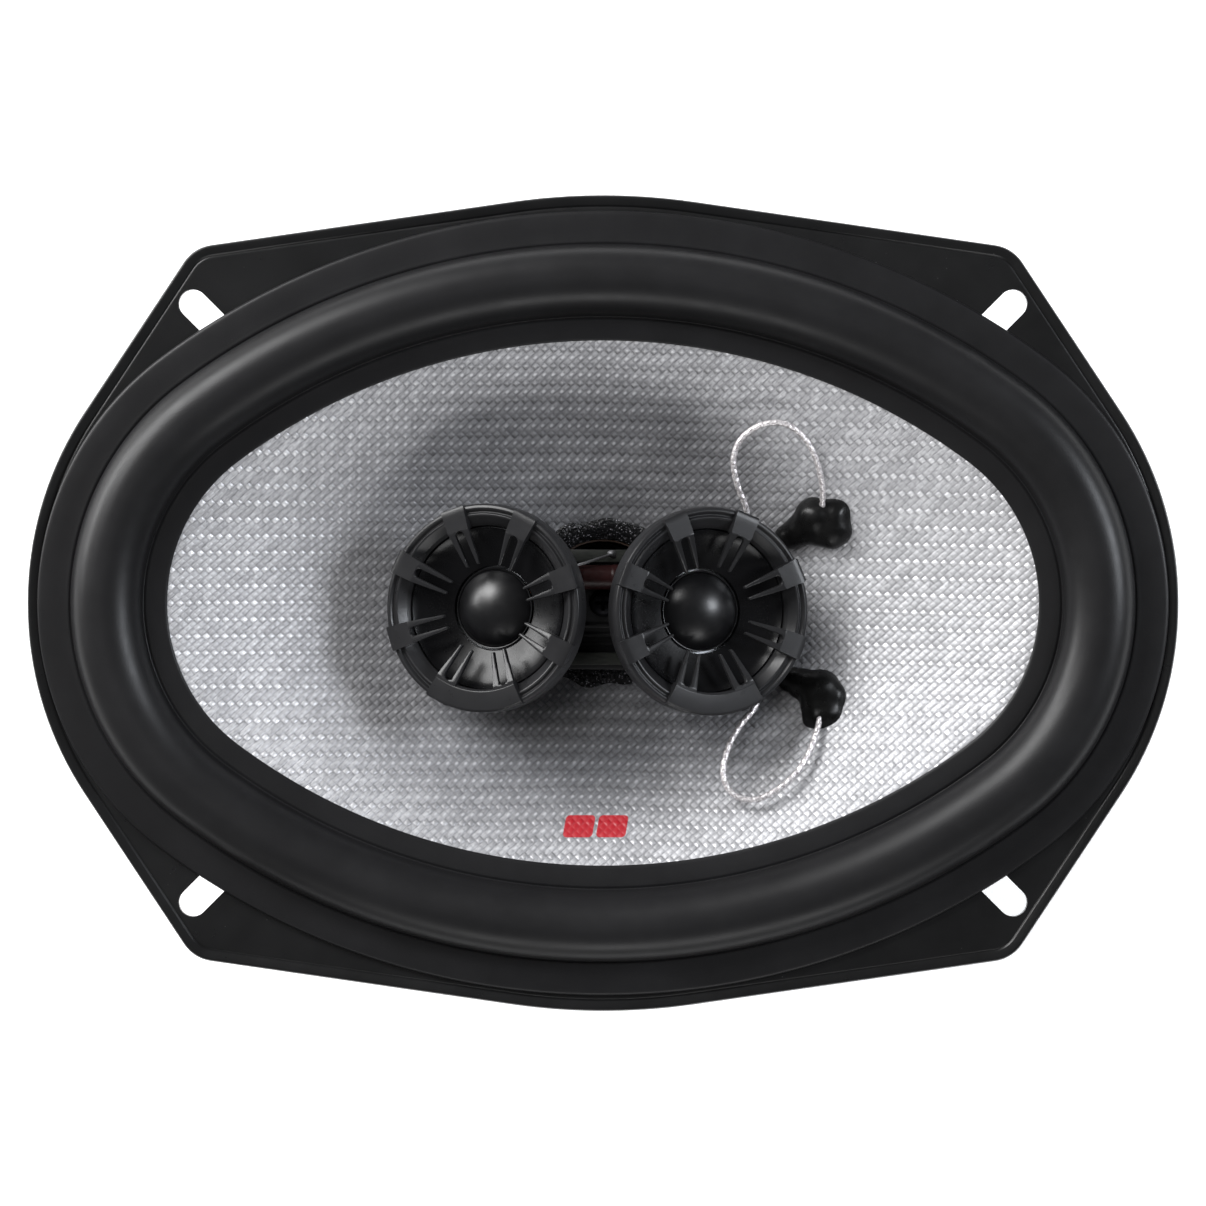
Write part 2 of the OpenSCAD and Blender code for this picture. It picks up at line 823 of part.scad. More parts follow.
// Rubber edge: strip on the cone's rim, half roll, step and lip on the flange
module surround() {
    rubber_t = 0.9;
    strip_z = rim_z + rubber_t;
    step_z = flange_t + 1.9;
    lip_z = flange_t + 1.2;
    middle = strip_w + roll_w / 2;
    steps = 9;
    outside = [
        for (i = [0 : steps])
            let (f = i / steps, t = 180 - 180 * f)
            [
                middle + roll_w / 2 * cos(t),
                strip_z + (step_z - strip_z) * f + roll_h * sin(t)
            ]
    ];
    inside = [
        for (i = [0 : steps])
            let (f = i / steps, t = 180 * f)
            [
                middle + (roll_w / 2 - rubber_t) * cos(t),
                flange_t + (rim_z - flange_t) * f + (roll_h + 0.6) * sin(t)
            ]
    ];
    profile = concat(
        [[0, rim_z], [0.4, strip_z]],
        outside,
        [
            [roll_out + 0.3, lip_z], [roll_out + lip_w * 0.45, lip_z + 0.3],
            [lip_out - 0.6, lip_z - 0.2], [lip_out, flange_t + 0.4], [lip_out, flange_t]
        ],
        inside
    );
    color("#2a2a2c")
    ring_loft([
        for (s = [0 : slices - 1])
            [for (p = profile) oval_point(s * 360 / slices, p[0], p[1])]
    ]);
}

module neck_glue_ring() {
    color("#1a1a1c")
    rotate_extrude()
        polygon([
            [former_out, neck_z - 0.4], [former_out + 0.6, neck_z + 0.6],
            [former_r + 3, cone_height(0.06) + 1.2], [former_r + 5, cone_height(0.13) + 0.9],
            [former_r + 5.2, cone_height(0.13) + 0.4], [former_r + 3, cone_height(0.06)]
        ]);
}

module coil_former() {
    color("#7a3f22")
    ring(former_r, former_out, magnet_z - 4.5, neck_z);
}

module coil_winding() {
    middle = magnet_z + plate_t / 2;
    color("#b87333")
    ring(
        former_out, former_out + winding_t,
        middle - winding_h / 2, middle + winding_h / 2
    );
}

module spider() {
    first_r = former_out;
    foot_r = landing_r - 0.4;
    waves = 6;
    steps = 48;
    cloth_t = 0.6;
    wave_h = 1.1;
    function wave(f) = landing_z + 1.1 * (1 - f) + wave_h * sin(360 * waves * f) * (1 - f * f);
    top = [
        for (i = [0 : steps])
            let (f = i / steps)
            [first_r + (foot_r - first_r) * f, wave(f) + cloth_t]
    ];
    bottom = [for (i = [steps : -1 : 0]) top[i] - [0, cloth_t]];
    color("#c8a552")
    rotate_extrude()
        polygon(concat(
            top,
            [[spider_r, landing_z + cloth_t], [spider_r, landing_z]],
            bottom
        ));
}

// How far a ray from the origin in direction d runs until it leaves the ball [x, y, z, radius]
function ball_exit(d, ball) =
    let (
        c = [ball[0], ball[1], ball[2]],
        along = d * c,
        rest = along * along - c * c + ball[3] * ball[3]
    )
    rest > 0 && along + sqrt(rest) > 0 ? along + sqrt(rest) : 0;

// One closed lump round several balls, drawn from the first ball's centre
module lump(balls) {
    rows = 14;
    cols = 24;
    c = [balls[0][0], balls[0][1], balls[0][2]];
    shifted = [for (b = balls) [b[0] - c[0], b[1] - c[1], b[2] - c[2], b[3]]];
    function ray(i, j) =
        let (polar = 180 * i / rows, turn = 360 * j / cols)
        [sin(polar) * cos(turn), sin(polar) * sin(turn), cos(polar)];
    function reach(d) = max([for (b = shifted) ball_exit(d, b)]);
    translate(c)
        polyhedron(
            points = concat(
                [reach([0, 0, 1]) * [0, 0, 1]],
                [for (i = [1 : rows - 1]) for (j = [0 : cols - 1]) reach(ray(i, j)) * ray(i, j)],
                [reach([0, 0, -1]) * [0, 0, -1]]
            ),
            faces = concat(
                [for (j = [0 : cols - 1]) [0, 1 + (j + 1) % cols, 1 + j]],
                [
                    for (i = [0 : rows - 3])
                        for (j = [0 : cols - 1])
                            let (
                                a = 1 + i * cols + j,
                                b = 1 + i * cols + (j + 1) % cols
                            )
                            each [[a, b, b + cols], [a, b + cols, a + cols]]
                ],
                [
                    for (j = [0 : cols - 1])
                        let (a = 1 + (rows - 2) * cols)
                        [a + cols, a + j, a + (j + 1) % cols]
                ]
            )
        );
}

// Lumps of glue that hold the leads where they pass through the cone
module upper_glue_blob() {
    color("#0c0c0d")
    lump([
        [45.4, 17.4, -11.4, 4.6], [48.2, 20, -10.4, 2.6],
        [41.6, 14.8, -14, 3], [39.4, 14.1, -15.2, 2]
    ]);
}

module lower_glue_blob() {
    color("#0c0c0d")
    lump([
        [44.2, -19.6, -11.8, 4.2], [46.6, -16.6, -12.6, 2.8],
        [40.4, -17.2, -14.2, 2.8], [43.6, -23.2, -10.8, 2]
    ]);
}

module upper_tweeter_lead() {
    color("#c4c6c8") cord_tube(upper_route, lead_d);
}

module lower_tweeter_lead() {
    color("#c4c6c8") cord_tube(lower_route, lead_d);
}

module positive_rear_lead() {
    color("#c4c6c8") cord_tube(positive_route, lead_d);
}

module negative_rear_lead() {
    color("#c4c6c8") cord_tube(negative_route, lead_d);
}

basket();
basket_rivets();
terminal_board();
terminal_rivets();
positive_terminal();
negative_terminal();
top_plate();
ferrite_magnet();
back_plate_and_pole();
magnet_boot();
dust_seal();
bridge_post();
post_screw();
tweeter_bridge();
capacitor();
upper_tag_strip();
lower_tag_strip();
tweeter_housing(-1);  // left_tweeter_housing
tweeter_housing(1);  // right_tweeter_housing
tweeter_bezel(-1, left_twist);  // left_tweeter_bezel
tweeter_bezel(1, right_twist);  // right_tweeter_bezel
waveguide(-1);  // left_waveguide
waveguide(1);  // right_waveguide
tweeter_yoke(-1);  // left_tweeter_yoke
tweeter_yoke(1);  // right_tweeter_yoke
tweeter_magnet(-1);  // left_tweeter_magnet
tweeter_magnet(1);  // right_tweeter_magnet
pole_plate(-1);  // left_pole_plate
pole_plate(1);  // right_pole_plate
dome(-1);  // left_dome
dome(1);  // right_dome
dome_coil(-1);  // left_dome_coil
dome_coil(1);  // right_dome_coil
cone();
surround();
neck_glue_ring();
coil_former();
coil_winding();
spider();
upper_glue_blob();
lower_glue_blob();
upper_tweeter_lead();
lower_tweeter_lead();
positive_rear_lead();
negative_rear_lead();
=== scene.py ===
from math import acos, asin, atan2, ceil, cos, pi, radians, sin, sqrt, tan

import bmesh
import bpy
import numpy as np
from mathutils import Matrix, Vector


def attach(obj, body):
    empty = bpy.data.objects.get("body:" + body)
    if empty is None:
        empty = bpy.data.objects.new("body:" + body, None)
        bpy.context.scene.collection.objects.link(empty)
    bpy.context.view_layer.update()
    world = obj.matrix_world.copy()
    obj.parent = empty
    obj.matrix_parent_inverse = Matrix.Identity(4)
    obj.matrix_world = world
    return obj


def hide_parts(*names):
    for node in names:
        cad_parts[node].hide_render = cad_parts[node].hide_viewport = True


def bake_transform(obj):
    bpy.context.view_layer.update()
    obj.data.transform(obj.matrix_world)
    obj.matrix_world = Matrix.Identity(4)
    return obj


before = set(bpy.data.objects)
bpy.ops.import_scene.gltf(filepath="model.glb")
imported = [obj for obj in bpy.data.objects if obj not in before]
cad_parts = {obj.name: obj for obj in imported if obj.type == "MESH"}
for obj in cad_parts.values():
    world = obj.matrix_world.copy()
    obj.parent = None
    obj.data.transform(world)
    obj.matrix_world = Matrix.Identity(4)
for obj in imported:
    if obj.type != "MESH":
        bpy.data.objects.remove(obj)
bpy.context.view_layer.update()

scene = bpy.context.scene

# Looks of an oval coaxial car loudspeaker. Lengths below are in millimetres, as in the CAD,
# and turn into metres where a mesh, a light or the camera is made.
MM = 0.001

# ---- Sizes shared with the CAD ----

FLANGE_L, FLANGE_W, FLANGE_T = 235.0, 166.6, 2.4
SHEET_T = 1.5
CONE_A, CONE_B, CONE_END_R = 89.0, 53.6, 36.0
END_X = CONE_A - CONE_END_R
SIDE_R = (END_X ** 2 + CONE_B ** 2 - CONE_END_R ** 2) / (2 * (CONE_B - CONE_END_R))
SIDE_Y = SIDE_R - CONE_B
JOIN_ANGLE = atan2(SIDE_Y, END_X)
STRIP_W, ROLL_W, LIP_W = 5.0, 14.4, 7.2
ROLL_OUT = STRIP_W + ROLL_W
LIP_OUT = ROLL_OUT + LIP_W
HOLE_OUT = ROLL_OUT - 1.9
RIM_Z, CONE_DEPTH, CONE_T = 1.6, 31.6, 0.8
NECK_Z = RIM_Z - CONE_DEPTH
LEDGE_Z, LANDING_Z, CUP_Z = -16.0, -42.0, -54.0
PLATE_Z = CUP_Z - SHEET_T
MAGNET_Z = PLATE_Z - 5
BACK_Z = MAGNET_Z - 15
REST_Z = BACK_Z - 7
BRIDGE_Z, BLOCK_H = -14.0, 6.0
FORMER_R, FORMER_T = 13.0, 0.3
NECK_R = FORMER_R + FORMER_T + 0.1
CUP_R, LANDING_R, SPIDER_R = 52.0, 41.0, 47.0
GAP_R = 14.6
LEG_ANGLES = (24, 66, 114, 156, 204, 246, 294, 336)
BEZEL_R, WELL_R, DOME_R = 21.3, 16.9, 8.0
LEAD_D = 1.1

UPPER_ROUTE = (
    (45, 18.5, -9.5), (45.2, 21.5, -7.5), (45, 24.5, -5.5), (44, 28.5, -3.5), (42.5, 32, -2),
    (40, 35, -1), (37, 36.7, -0.5), (33.5, 36.7, -0.5), (30.5, 35.5, -1), (28, 33.2, -1.5),
    (26.8, 30, -2.2), (27, 26.5, -3.2), (28, 23, -4.5), (29.3, 20, -6), (29.5, 17.5, -7.8),
    (27.5, 15.7, -9.2), (24.5, 14.8, -10.2), (21, 14.2, -10.8), (17.5, 13.2, -11),
    (14.2, 11.5, -10.2), (11.9, 10.4, -9.2), (9.8, 9.7, -9), (8.7, 9.5, -9.7),
    (8.5, 9.5, -10.6), (8.5, 9.5, -11.5),
)
LOWER_ROUTE = (
    (44.2, -21, -9.5), (44.5, -24, -7.5), (43.5, -27.5, -5.5), (42.2, -30.8, -4),
    (40.2, -34, -2.5), (37.5, -36.8, -1.5), (34.3, -39, -1), (31, -40.2, -0.8),
    (27.8, -39.8, -1), (25.4, -37.6, -1.5), (24.6, -34.4, -2), (25.2, -31, -2.8),
    (26.6, -27.6, -3.8), (28.6, -24.6, -5), (31, -21.8, -6.5), (32, -19, -8),
    (30.5, -16.6, -9.2), (27.5, -15.6, -10), (24, -15.2, -10.6), (20.5, -14.6, -11),
    (17, -13.6, -11.1), (14.2, -12.4, -10.3), (11.9, -11.8, -9.3), (9.8, -11.5, -9),
    (8.7, -11.5, -9.7), (8.5, -11.5, -10.6), (8.5, -11.5, -11.5),
)
POSITIVE_ROUTE = (
    (56.9, 7, -39.6), (56.9, 7, -38.4), (57.6, 7.2, -37), (59.4, 7.8, -35.8),
    (61.4, 9, -34.4), (62.6, 10.6, -32.4), (62.4, 12.6, -30), (60.8, 14.4, -27.6),
    (58, 15.7, -25.6), (54.8, 16.6, -23.4), (51.4, 17.1, -20.8), (48.2, 17.2, -18.2),
    (45.8, 17, -15.6),
)
NEGATIVE_ROUTE = (
    (56.9, -7, -39.6), (56.9, -7, -38.4), (57.6, -7.2, -37), (59.4, -8, -35.8),
    (61.4, -9.4, -34.4), (62.4, -11.4, -32.4), (61.8, -13.6, -30), (59.8, -15.6, -27.8),
    (56.8, -17.1, -25.8), (53.4, -18.1, -23.6), (49.9, -18.8, -21), (46.6, -19.2, -18.2),
    (44.2, -19.4, -15.4),
)

# ---- Mesh helpers ----


def placed(name, data):
    """A new object in the scene."""
    obj = bpy.data.objects.new(name, data)
    scene.collection.objects.link(obj)
    return obj


def from_bmesh(name, bm):
    """A new mesh object from a bmesh, which is then freed."""
    mesh = bpy.data.meshes.new(name)
    bm.to_mesh(mesh)
    bm.free()
    return placed(name, mesh)


def shade(obj, sharp):
    """Smooth shading apart from edges sharper than the angle."""
    mesh = obj.data
    mesh.polygons.foreach_set("use_smooth", [True] * len(mesh.polygons))
    mesh.set_sharp_from_angle(angle=radians(sharp))
    return obj


def make(name, verts, faces, sharp=35):
    """A mesh object from millimetre points, smooth apart from edges sharper than the angle."""
    mesh = bpy.data.meshes.new(name)
    mesh.from_pydata([tuple(v) for v in np.asarray(verts, float) * MM], [], [tuple(f) for f in faces])
    return clean(placed(name, mesh), sharp)


def clean(obj, sharp=35):
    """Merges doubled points, turns all faces outwards and sets the shading."""
    bm = bmesh.new()
    bm.from_mesh(obj.data)
    bmesh.ops.remove_doubles(bm, verts=bm.verts, dist=2e-6)
    bmesh.ops.dissolve_degenerate(bm, edges=bm.edges, dist=1e-7)
    loose = [e for e in bm.edges if not e.link_faces]
    bmesh.ops.delete(bm, geom=loose, context="EDGES")
    bmesh.ops.recalc_face_normals(bm, faces=bm.faces)
    bm.to_mesh(obj.data)
    bm.free()
    return shade(obj, sharp)


def grid_faces(n, m, wrap_n, wrap_m):
    """The quads between n rows of m points, each row or column of which may close on itself."""
    rows = n if wrap_n else n - 1
    cols = m if wrap_m else m - 1
    for i in range(rows):
        for j in range(cols):
            a, b = i, (i + 1) % n
            c, d = j, (j + 1) % m
            yield a * m + c, b * m + c, b * m + d, a * m + d


def grid(name, points, sharp=35):
    """A closed ring of quads through an n by m array of points."""
    points = np.asarray(points, float)
    n, m = points.shape[:2]
    return make(name, points.reshape(-1, 3), grid_faces(n, m, True, True), sharp)


def bar(name, points, sharp=35):
    """A capped bar of quads through n closed rings of m points."""
    points = np.asarray(points, float)
    n, m = points.shape[:2]
    faces = list(grid_faces(n, m, False, True))
    faces += [tuple(range(m)), tuple((n - 1) * m + k for k in range(m - 1, -1, -1))]
    return make(name, points.reshape(-1, 3), faces, sharp)


def fillet(corners, steps=4):
    """A closed outline of corners (x, y) or (x, y, radius) with the given corners rounded."""
    pts = [(c[0], c[1]) for c in corners]
    radii = [c[2] if len(c) > 2 else 0 for c in corners]
    out = []
    n = len(pts)
    for i in range(n):
        b = np.array(pts[i], float)
        if radii[i] <= 0:
            out.append(b)
            continue
        a = np.array(pts[i - 1], float) - b
        c = np.array(pts[(i + 1) % n], float) - b
        la, lc = np.linalg.norm(a), np.linalg.norm(c)
        a, c = a / la, c / lc
        half = acos(max(-1, min(1, float(a @ c)))) / 2
        if half > radians(88):
            out.append(b)
            continue
        reach = min(radii[i] / tan(half), la * 0.49, lc * 0.49)
        for k in range(steps + 1):
            t = k / steps
            p = b + a * reach * (1 - t) ** 2 + c * reach * t ** 2
            out.append(p)
    return np.array(out)


def turned(name, corners, steps=96, place=None, wave=None, sharp=35, arc=4):
    """A solid of revolution of a closed outline of (radius, height[, rounding]) corners."""
    outline = fillet(corners, arc)
    points = np.zeros((steps, len(outline), 3))
    for i in range(steps):
        t = 2 * pi * i / steps
        r, z = outline[:, 0], outline[:, 1]
        if wave is not None:
            r, z = wave(t, r, z)
        points[i] = np.stack([r * cos(t), r * sin(t), z], 1)
    obj = grid(name, points, sharp)
    return obj if place is None else put(obj, place)


def shifted(x, y, z):
    """A move in millimetres, as a matrix in metres."""
    return Matrix.Translation(Vector((x, y, z)) * MM)


def put(obj, matrix):
    """Moves the mesh itself by a matrix in metres."""
    obj.data.transform(matrix)
    obj.data.update()
    return obj


def plate(name, outline, z_low, z_high, bevel=0.15):
    """A flat plate with the given outline and softened edges."""
    n = len(outline)
    verts = [(x, y, z_low) for x, y in outline] + [(x, y, z_high) for x, y in outline]
    faces = [tuple(range(n - 1, -1, -1)), tuple(range(n, 2 * n))]
    faces += [(i, (i + 1) % n, n + (i + 1) % n, n + i) for i in range(n)]
    obj = make(name, verts, faces)
    return soften(obj, bevel) if bevel else obj


def box_mesh(name, low, high, bevel):
    """A box with softened edges between two corners."""
    (x0, y0, z0), (x1, y1, z1) = low, high
    return plate(name, [(x0, y0), (x1, y0), (x1, y1), (x0, y1)], z0, z1, bevel)


def modified(obj, kind, **values):
    """Adds one modifier and applies it to the mesh."""
    mod = obj.modifiers.new(kind.lower(), kind)
    for key, value in values.items():
        setattr(mod, key, value)
    bpy.context.view_layer.update()
    graph = bpy.context.evaluated_depsgraph_get()
    mesh = bpy.data.meshes.new_from_object(obj.evaluated_get(graph))
    obj.modifiers.clear()
    old = obj.data
    obj.data = mesh
    bpy.data.meshes.remove(old)
    return obj


def soften(obj, width, sharp=35, limit=40):
    """Bevels the edges sharper than the limit."""
    modified(
        obj, "BEVEL", width=width * MM, segments=2, limit_method="ANGLE",
        angle_limit=radians(limit), harden_normals=False,
    )
    return clean(obj, sharp)


def cut(obj, *cutters):
    """Takes each cutter out of the object, and then throws the cutter away."""
    for cutter in cutters:
        modified(obj, "BOOLEAN", object=cutter, operation="DIFFERENCE", solver="EXACT")
        bpy.data.objects.remove(cutter)
    return clean(obj)


def joined(name, *parts):
    """One object from several, keeping every shell closed."""
    bm = bmesh.new()
    for part in parts:
        bm.from_mesh(part.data)
        bpy.data.objects.remove(part)
    return shade(from_bmesh(name, bm), 35)


def oval_radius(t, out):
    """Distance from the middle to the cone's oval grown by out, in direction t (radians)."""
    c, s = np.abs(np.cos(t)), np.abs(np.sin(t))
    r1, r2 = CONE_END_R + out, SIDE_R + out
    at_end = END_X * c + np.sqrt(np.maximum(0, r1 * r1 - END_X ** 2 * s * s))
    at_side = -SIDE_Y * s + np.sqrt(r2 * r2 - SIDE_Y ** 2 * c * c)
    on_end = np.arctan2(at_end * s, at_end * c - END_X) <= JOIN_ANGLE
    return np.where(on_end, at_end, at_side)


def oval_ring(name, profile, steps, sharp):
    """A closed ring that follows the oval, from a closed profile of (offset, height)."""
    profile = np.asarray(profile, float)
    points = np.zeros((steps, len(profile), 3))
    for i in range(steps):
        t = 2 * pi * i / steps
        r = oval_radius(t, profile[:, 0])
        points[i] = np.stack([r * cos(t), r * sin(t), profile[:, 1]], 1)
    return grid(name, points, sharp)


def smooth_path(route, step=0.4):
    """Evenly spaced points of a Catmull-Rom curve through the route."""
    p = np.array(route, float)
    p = np.vstack([2 * p[0] - p[1], p, 2 * p[-1] - p[-2]])
    fine = []
    for i in range(1, len(p) - 2):
        for t in np.linspace(0, 1, 24, endpoint=False):
            a, b, c, d = p[i - 1], p[i], p[i + 1], p[i + 2]
            fine.append(0.5 * (
                2 * b + (c - a) * t + (2 * a - 5 * b + 4 * c - d) * t ** 2
                + (3 * b - a - 3 * c + d) * t ** 3
            ))
    fine.append(p[-2])
    fine = np.array(fine)
    run = np.concatenate([[0], np.cumsum(np.linalg.norm(np.diff(fine, axis=0), axis=1))])
    count = max(4, int(round(run[-1] / step)))
    at = np.linspace(0, run[-1], count + 1)
    return np.stack([np.interp(at, run, fine[:, k]) for k in range(3)], 1), run[-1]


def path_frames(path):
    """Tangents and two carried normals along a path."""
    t = np.gradient(path, axis=0)
    t /= np.linalg.norm(t, axis=1)[:, None]
    u = np.zeros_like(t)
    last = np.array([0.31, 0.17, 1.0])
    for i in range(len(path)):
        last = last - (last @ t[i]) * t[i]
        last /= np.linalg.norm(last)
        u[i] = last
    return t, u, np.cross(t, u)


def tube(name, path, radius, sides=12, relief=None, sharp=60):
    """A capped tube; relief(i, k) adds to the radius at ring i and side k."""
    t, u, w = path_frames(path)
    n = len(path)
    angle = 2 * np.pi * np.arange(sides) / sides
    rings = np.zeros((n, sides, 3))
    for i in range(n):
        r = radius if relief is None else radius + relief(i, np.arange(sides))
        rings[i] = path[i] + (np.cos(angle) * r)[:, None] * u[i] + (np.sin(angle) * r)[:, None] * w[i]
    return bar(name, rings, sharp)


# ---- Material helpers ----


def shader_operator(kind):
    """A Field method that makes the shader node for one operator."""
    return lambda self, other: self.paint.math(kind, self, other)


class Field:
    """A number in a shader, which adds and multiplies like a plain one."""

    __add__, __sub__ = shader_operator("ADD"), shader_operator("SUBTRACT")
    __mul__, __truediv__ = shader_operator("MULTIPLY"), shader_operator("DIVIDE")
    __pow__ = shader_operator("POWER")

    def __init__(self, paint, socket):
        self.paint, self.socket = paint, socket

    def __rsub__(self, other):
        return self.paint.math("SUBTRACT", other, self)

    def __abs__(self):
        return self.paint.math("ABSOLUTE", self)


class Paint:
    """A node material that ends in one Principled shader."""

    def __init__(self, name, base, rough=0.5, specular=0.5, **constants):
        self.mat = bpy.data.materials.new(name)
        self.mat.use_nodes = True
        self.tree = self.mat.node_tree
        self.shader = self.tree.nodes["Principled BSDF"]
        self.shader.inputs["Base Color"].default_value = (*base, 1)
        self.shader.inputs["Roughness"].default_value = rough
        self.shader.inputs["Specular IOR Level"].default_value = specular
        for key, value in constants.items():
            self.shader.inputs[key.replace("_", " ")].default_value = value
        self.place = self.node("TexCoord").outputs["Object"]

    def node(self, kind, feeds=None, **settings):
        """A new shader node with its settings and its inputs."""
        node = self.tree.nodes.new("ShaderNode" + kind)
        for key, value in settings.items():
            setattr(node, key, value)
        for key, value in (feeds or {}).items():
            self.feed(node.inputs[key], value)
        return node

    def feed(self, socket, value):
        if isinstance(value, Field):
            value = value.socket
        if isinstance(value, bpy.types.NodeSocket):
            self.tree.links.new(value, socket)
        elif isinstance(value, (tuple, list)) and len(value) == 3 and socket.type == "RGBA":
            socket.default_value = (*value, 1)
        else:
            socket.default_value = value

    def math(self, operation, a, b=0.5, c=0.0):
        return Field(self, self.node("Math", {0: a, 1: b, 2: c}, operation=operation).outputs[0])

    def length(self, a, b):
        return self.math("SQRT", a * a + b * b)

    def above(self, value, low=0.0):
        return self.math("MAXIMUM", value, low)

    def scaled(self, scale):
        """The place on the piece, stretched along its axes."""
        return self.node("Mapping", {"Vector": self.place, "Scale": scale}).outputs[0]

    def millimetres(self):
        """X and Y of the place on the piece, in millimetres."""
        split = self.node("SeparateXYZ", {0: self.scaled((1 / MM, 1 / MM, 1 / MM))})
        return Field(self, split.outputs[0]), Field(self, split.outputs[1])

    def noise(self, per_mm, detail=3, rough=0.5, vector=None):
        feeds = {"Vector": vector or self.place, "Scale": per_mm / MM}
        feeds.update({"Detail": detail, "Roughness": rough})
        return Field(self, self.node("TexNoise", feeds).outputs["Fac"])

    def cells(self, per_mm, feature="F1"):
        feeds = {"Vector": self.place, "Scale": per_mm / MM}
        return Field(self, self.node("TexVoronoi", feeds, feature=feature).outputs["Distance"])

    def ramp(self, fac, *stops):
        """A ramp from (position, grey or colour) stops."""
        node = self.node("ValToRGB", {0: fac})
        elements = node.color_ramp.elements
        for i, (position, colour) in enumerate(stops):
            colour = (colour,) * 3 if isinstance(colour, (int, float)) else colour
            stop = elements[i] if i < 2 else elements.new(position)
            stop.position = position
            stop.color = (*colour, 1)
        return Field(self, node.outputs[0])

    def mix(self, fac, a, b):
        return Field(self, self.node("Mix", {0: fac, 6: a, 7: b}, data_type="RGBA").outputs[2])

    def colour(self, value):
        self.feed(self.shader.inputs["Base Color"], value)

    def roughness(self, value, *stops):
        self.feed(self.shader.inputs["Roughness"], self.ramp(value, *stops))

    def bump(self, height, depth_mm, strength=1.0):
        feeds = {"Strength": strength, "Distance": depth_mm * MM, "Height": height}
        self.feed(self.shader.inputs["Normal"], self.node("Bump", feeds).outputs[0])


def shaded(base, share):
    """A colour made lighter or darker by a share of itself."""
    return tuple(min(1, v * (1 + share)) for v in base)


def grained(name, base, rough, grain=3.0, depth=0.02, spread=0.25, fleck=None, **constants):
    """A moulded or painted finish: slight tone and gloss changes, fine grain and stray flecks."""
    p = Paint(name, base, rough, **constants)
    tone = p.ramp(p.noise(0.06, 4, 0.6), (0.3, shaded(base, -spread)), (0.7, shaded(base, spread)))
    if fleck:
        spot = p.ramp(p.cells(0.35), (0.0, 1.0), (0.035, 0.0))
        tone = p.mix(spot * fleck, tone, (0.5, 0.5, 0.5))
    p.colour(tone)
    p.roughness(p.noise(0.25, 4, 0.65), (0.3, rough * 0.88), (0.7, min(1, rough * 1.12)))
    p.bump(p.noise(grain, 3, 0.6), depth, 0.6)
    return p.mat


# ---- Camera: straight down on the front, the whole frame 246.6 mm across at the flange ----

CAMERA_H = 1.2
FIELD = 0.2466
SENSOR_MM = 36
camera_data = bpy.data.cameras.new("camera")
camera_data.sensor_width = SENSOR_MM
camera_data.lens = SENSOR_MM * CAMERA_H / FIELD
camera_data.clip_start = 0.05
camera_data.clip_end = 20
camera = placed("camera", camera_data)
camera.location = (0, 0, CAMERA_H)
scene.camera = camera

# ---- Tinsel leads ----


def tinsel_paint():
    """Bright flattened strands with dark gaps between them."""
    p = Paint("tinsel_braid", (0.8, 0.8, 0.8), 0.36, Metallic=0.6)
    strand = p.noise(2.6, 2, 0.6)
    # painted shade in the gaps and on the strands' sides, and a painted highlight on their crests
    gap, side, crest = (0.24, 0.225, 0.23), (0.74, 0.71, 0.715), (0.96, 0.94, 0.945)
    tone = p.ramp(strand, (0.34, gap), (0.48, side), (0.6, crest))
    p.colour(p.mix(p.ramp(p.cells(2.4), (0.3, 0.0), (0.6, 0.6)), tone, (0.3, 0.27, 0.28)))
    p.roughness(strand, (0.3, 0.5), (0.7, 0.26))
    p.bump(strand, 0.08, 0.7)
    return p.mat


def points_of(obj):
    """The mesh's points in millimetres."""
    return np.array([v.co for v in obj.data.vertices]) / MM


def finish_blended(obj, material, node):
    """Gives a piece its material, bakes its place into its mesh and hides the CAD node it stands for."""
    obj.data.materials.append(material)
    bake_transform(obj)
    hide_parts(node)


TINSEL = tinsel_paint()
LEAD_SIDES = 16
LAY = 1.9


def tinsel_lead(name, node, route):
    """A braided lead of two families of strands, with its first or last point on the cone."""
    path, length = smooth_path(route, 0.13)
    along = np.linspace(0, length, len(path))

    def relief(i, k):
        turn, wound = k / LEAD_SIDES, along[i] / LAY
        one = np.sin(2 * np.pi * (2 * turn + wound))
        other = np.sin(2 * np.pi * (2 * turn - wound))
        return 0.08 * np.maximum(one, other)

    lead = tube(name, path, LEAD_D / 2, LEAD_SIDES, relief, 80)
    finish_blended(lead, TINSEL, node)
    [tuple(p * MM) for p in smooth_path(route, 0.4)[0]]


tinsel_lead("upper_lead", "upper_tweeter_lead", UPPER_ROUTE)
tinsel_lead("lower_lead", "lower_tweeter_lead", LOWER_ROUTE)
tinsel_lead("positive_lead", "positive_rear_lead", POSITIVE_ROUTE)
tinsel_lead("negative_lead", "negative_rear_lead", NEGATIVE_ROUTE)

# ---- Finishes ----

FRAME_PAINT = grained(
    "frame_paint", (0.0062, 0.0062, 0.0064), 0.31, 2.2, 0.02, 0.2, 0.25, specular=0.26,
)
BEZEL_PLASTIC = grained(
    "bezel_plastic", (0.0118, 0.0118, 0.0126), 0.3, 4.5, 0.014, 0.15, 0.15, specular=0.24,
)
HOUSING_PLASTIC = grained("housing_plastic", (0.014, 0.014, 0.015), 0.5, 4.0, 0.02, 0.15)
BRIDGE_PLASTIC = grained(
    "bridge_plastic", (0.007, 0.007, 0.0075), 0.5, 3.0, 0.02, 0.2, 0.1, specular=0.3,
)
BOOT_RUBBER = grained("boot_rubber", (0.015, 0.015, 0.016), 0.62, 1.6, 0.04, 0.25, 0.15)
FERRITE = grained("ferrite", (0.03, 0.03, 0.033), 0.55, 2.4, 0.03, 0.3, 0.1)
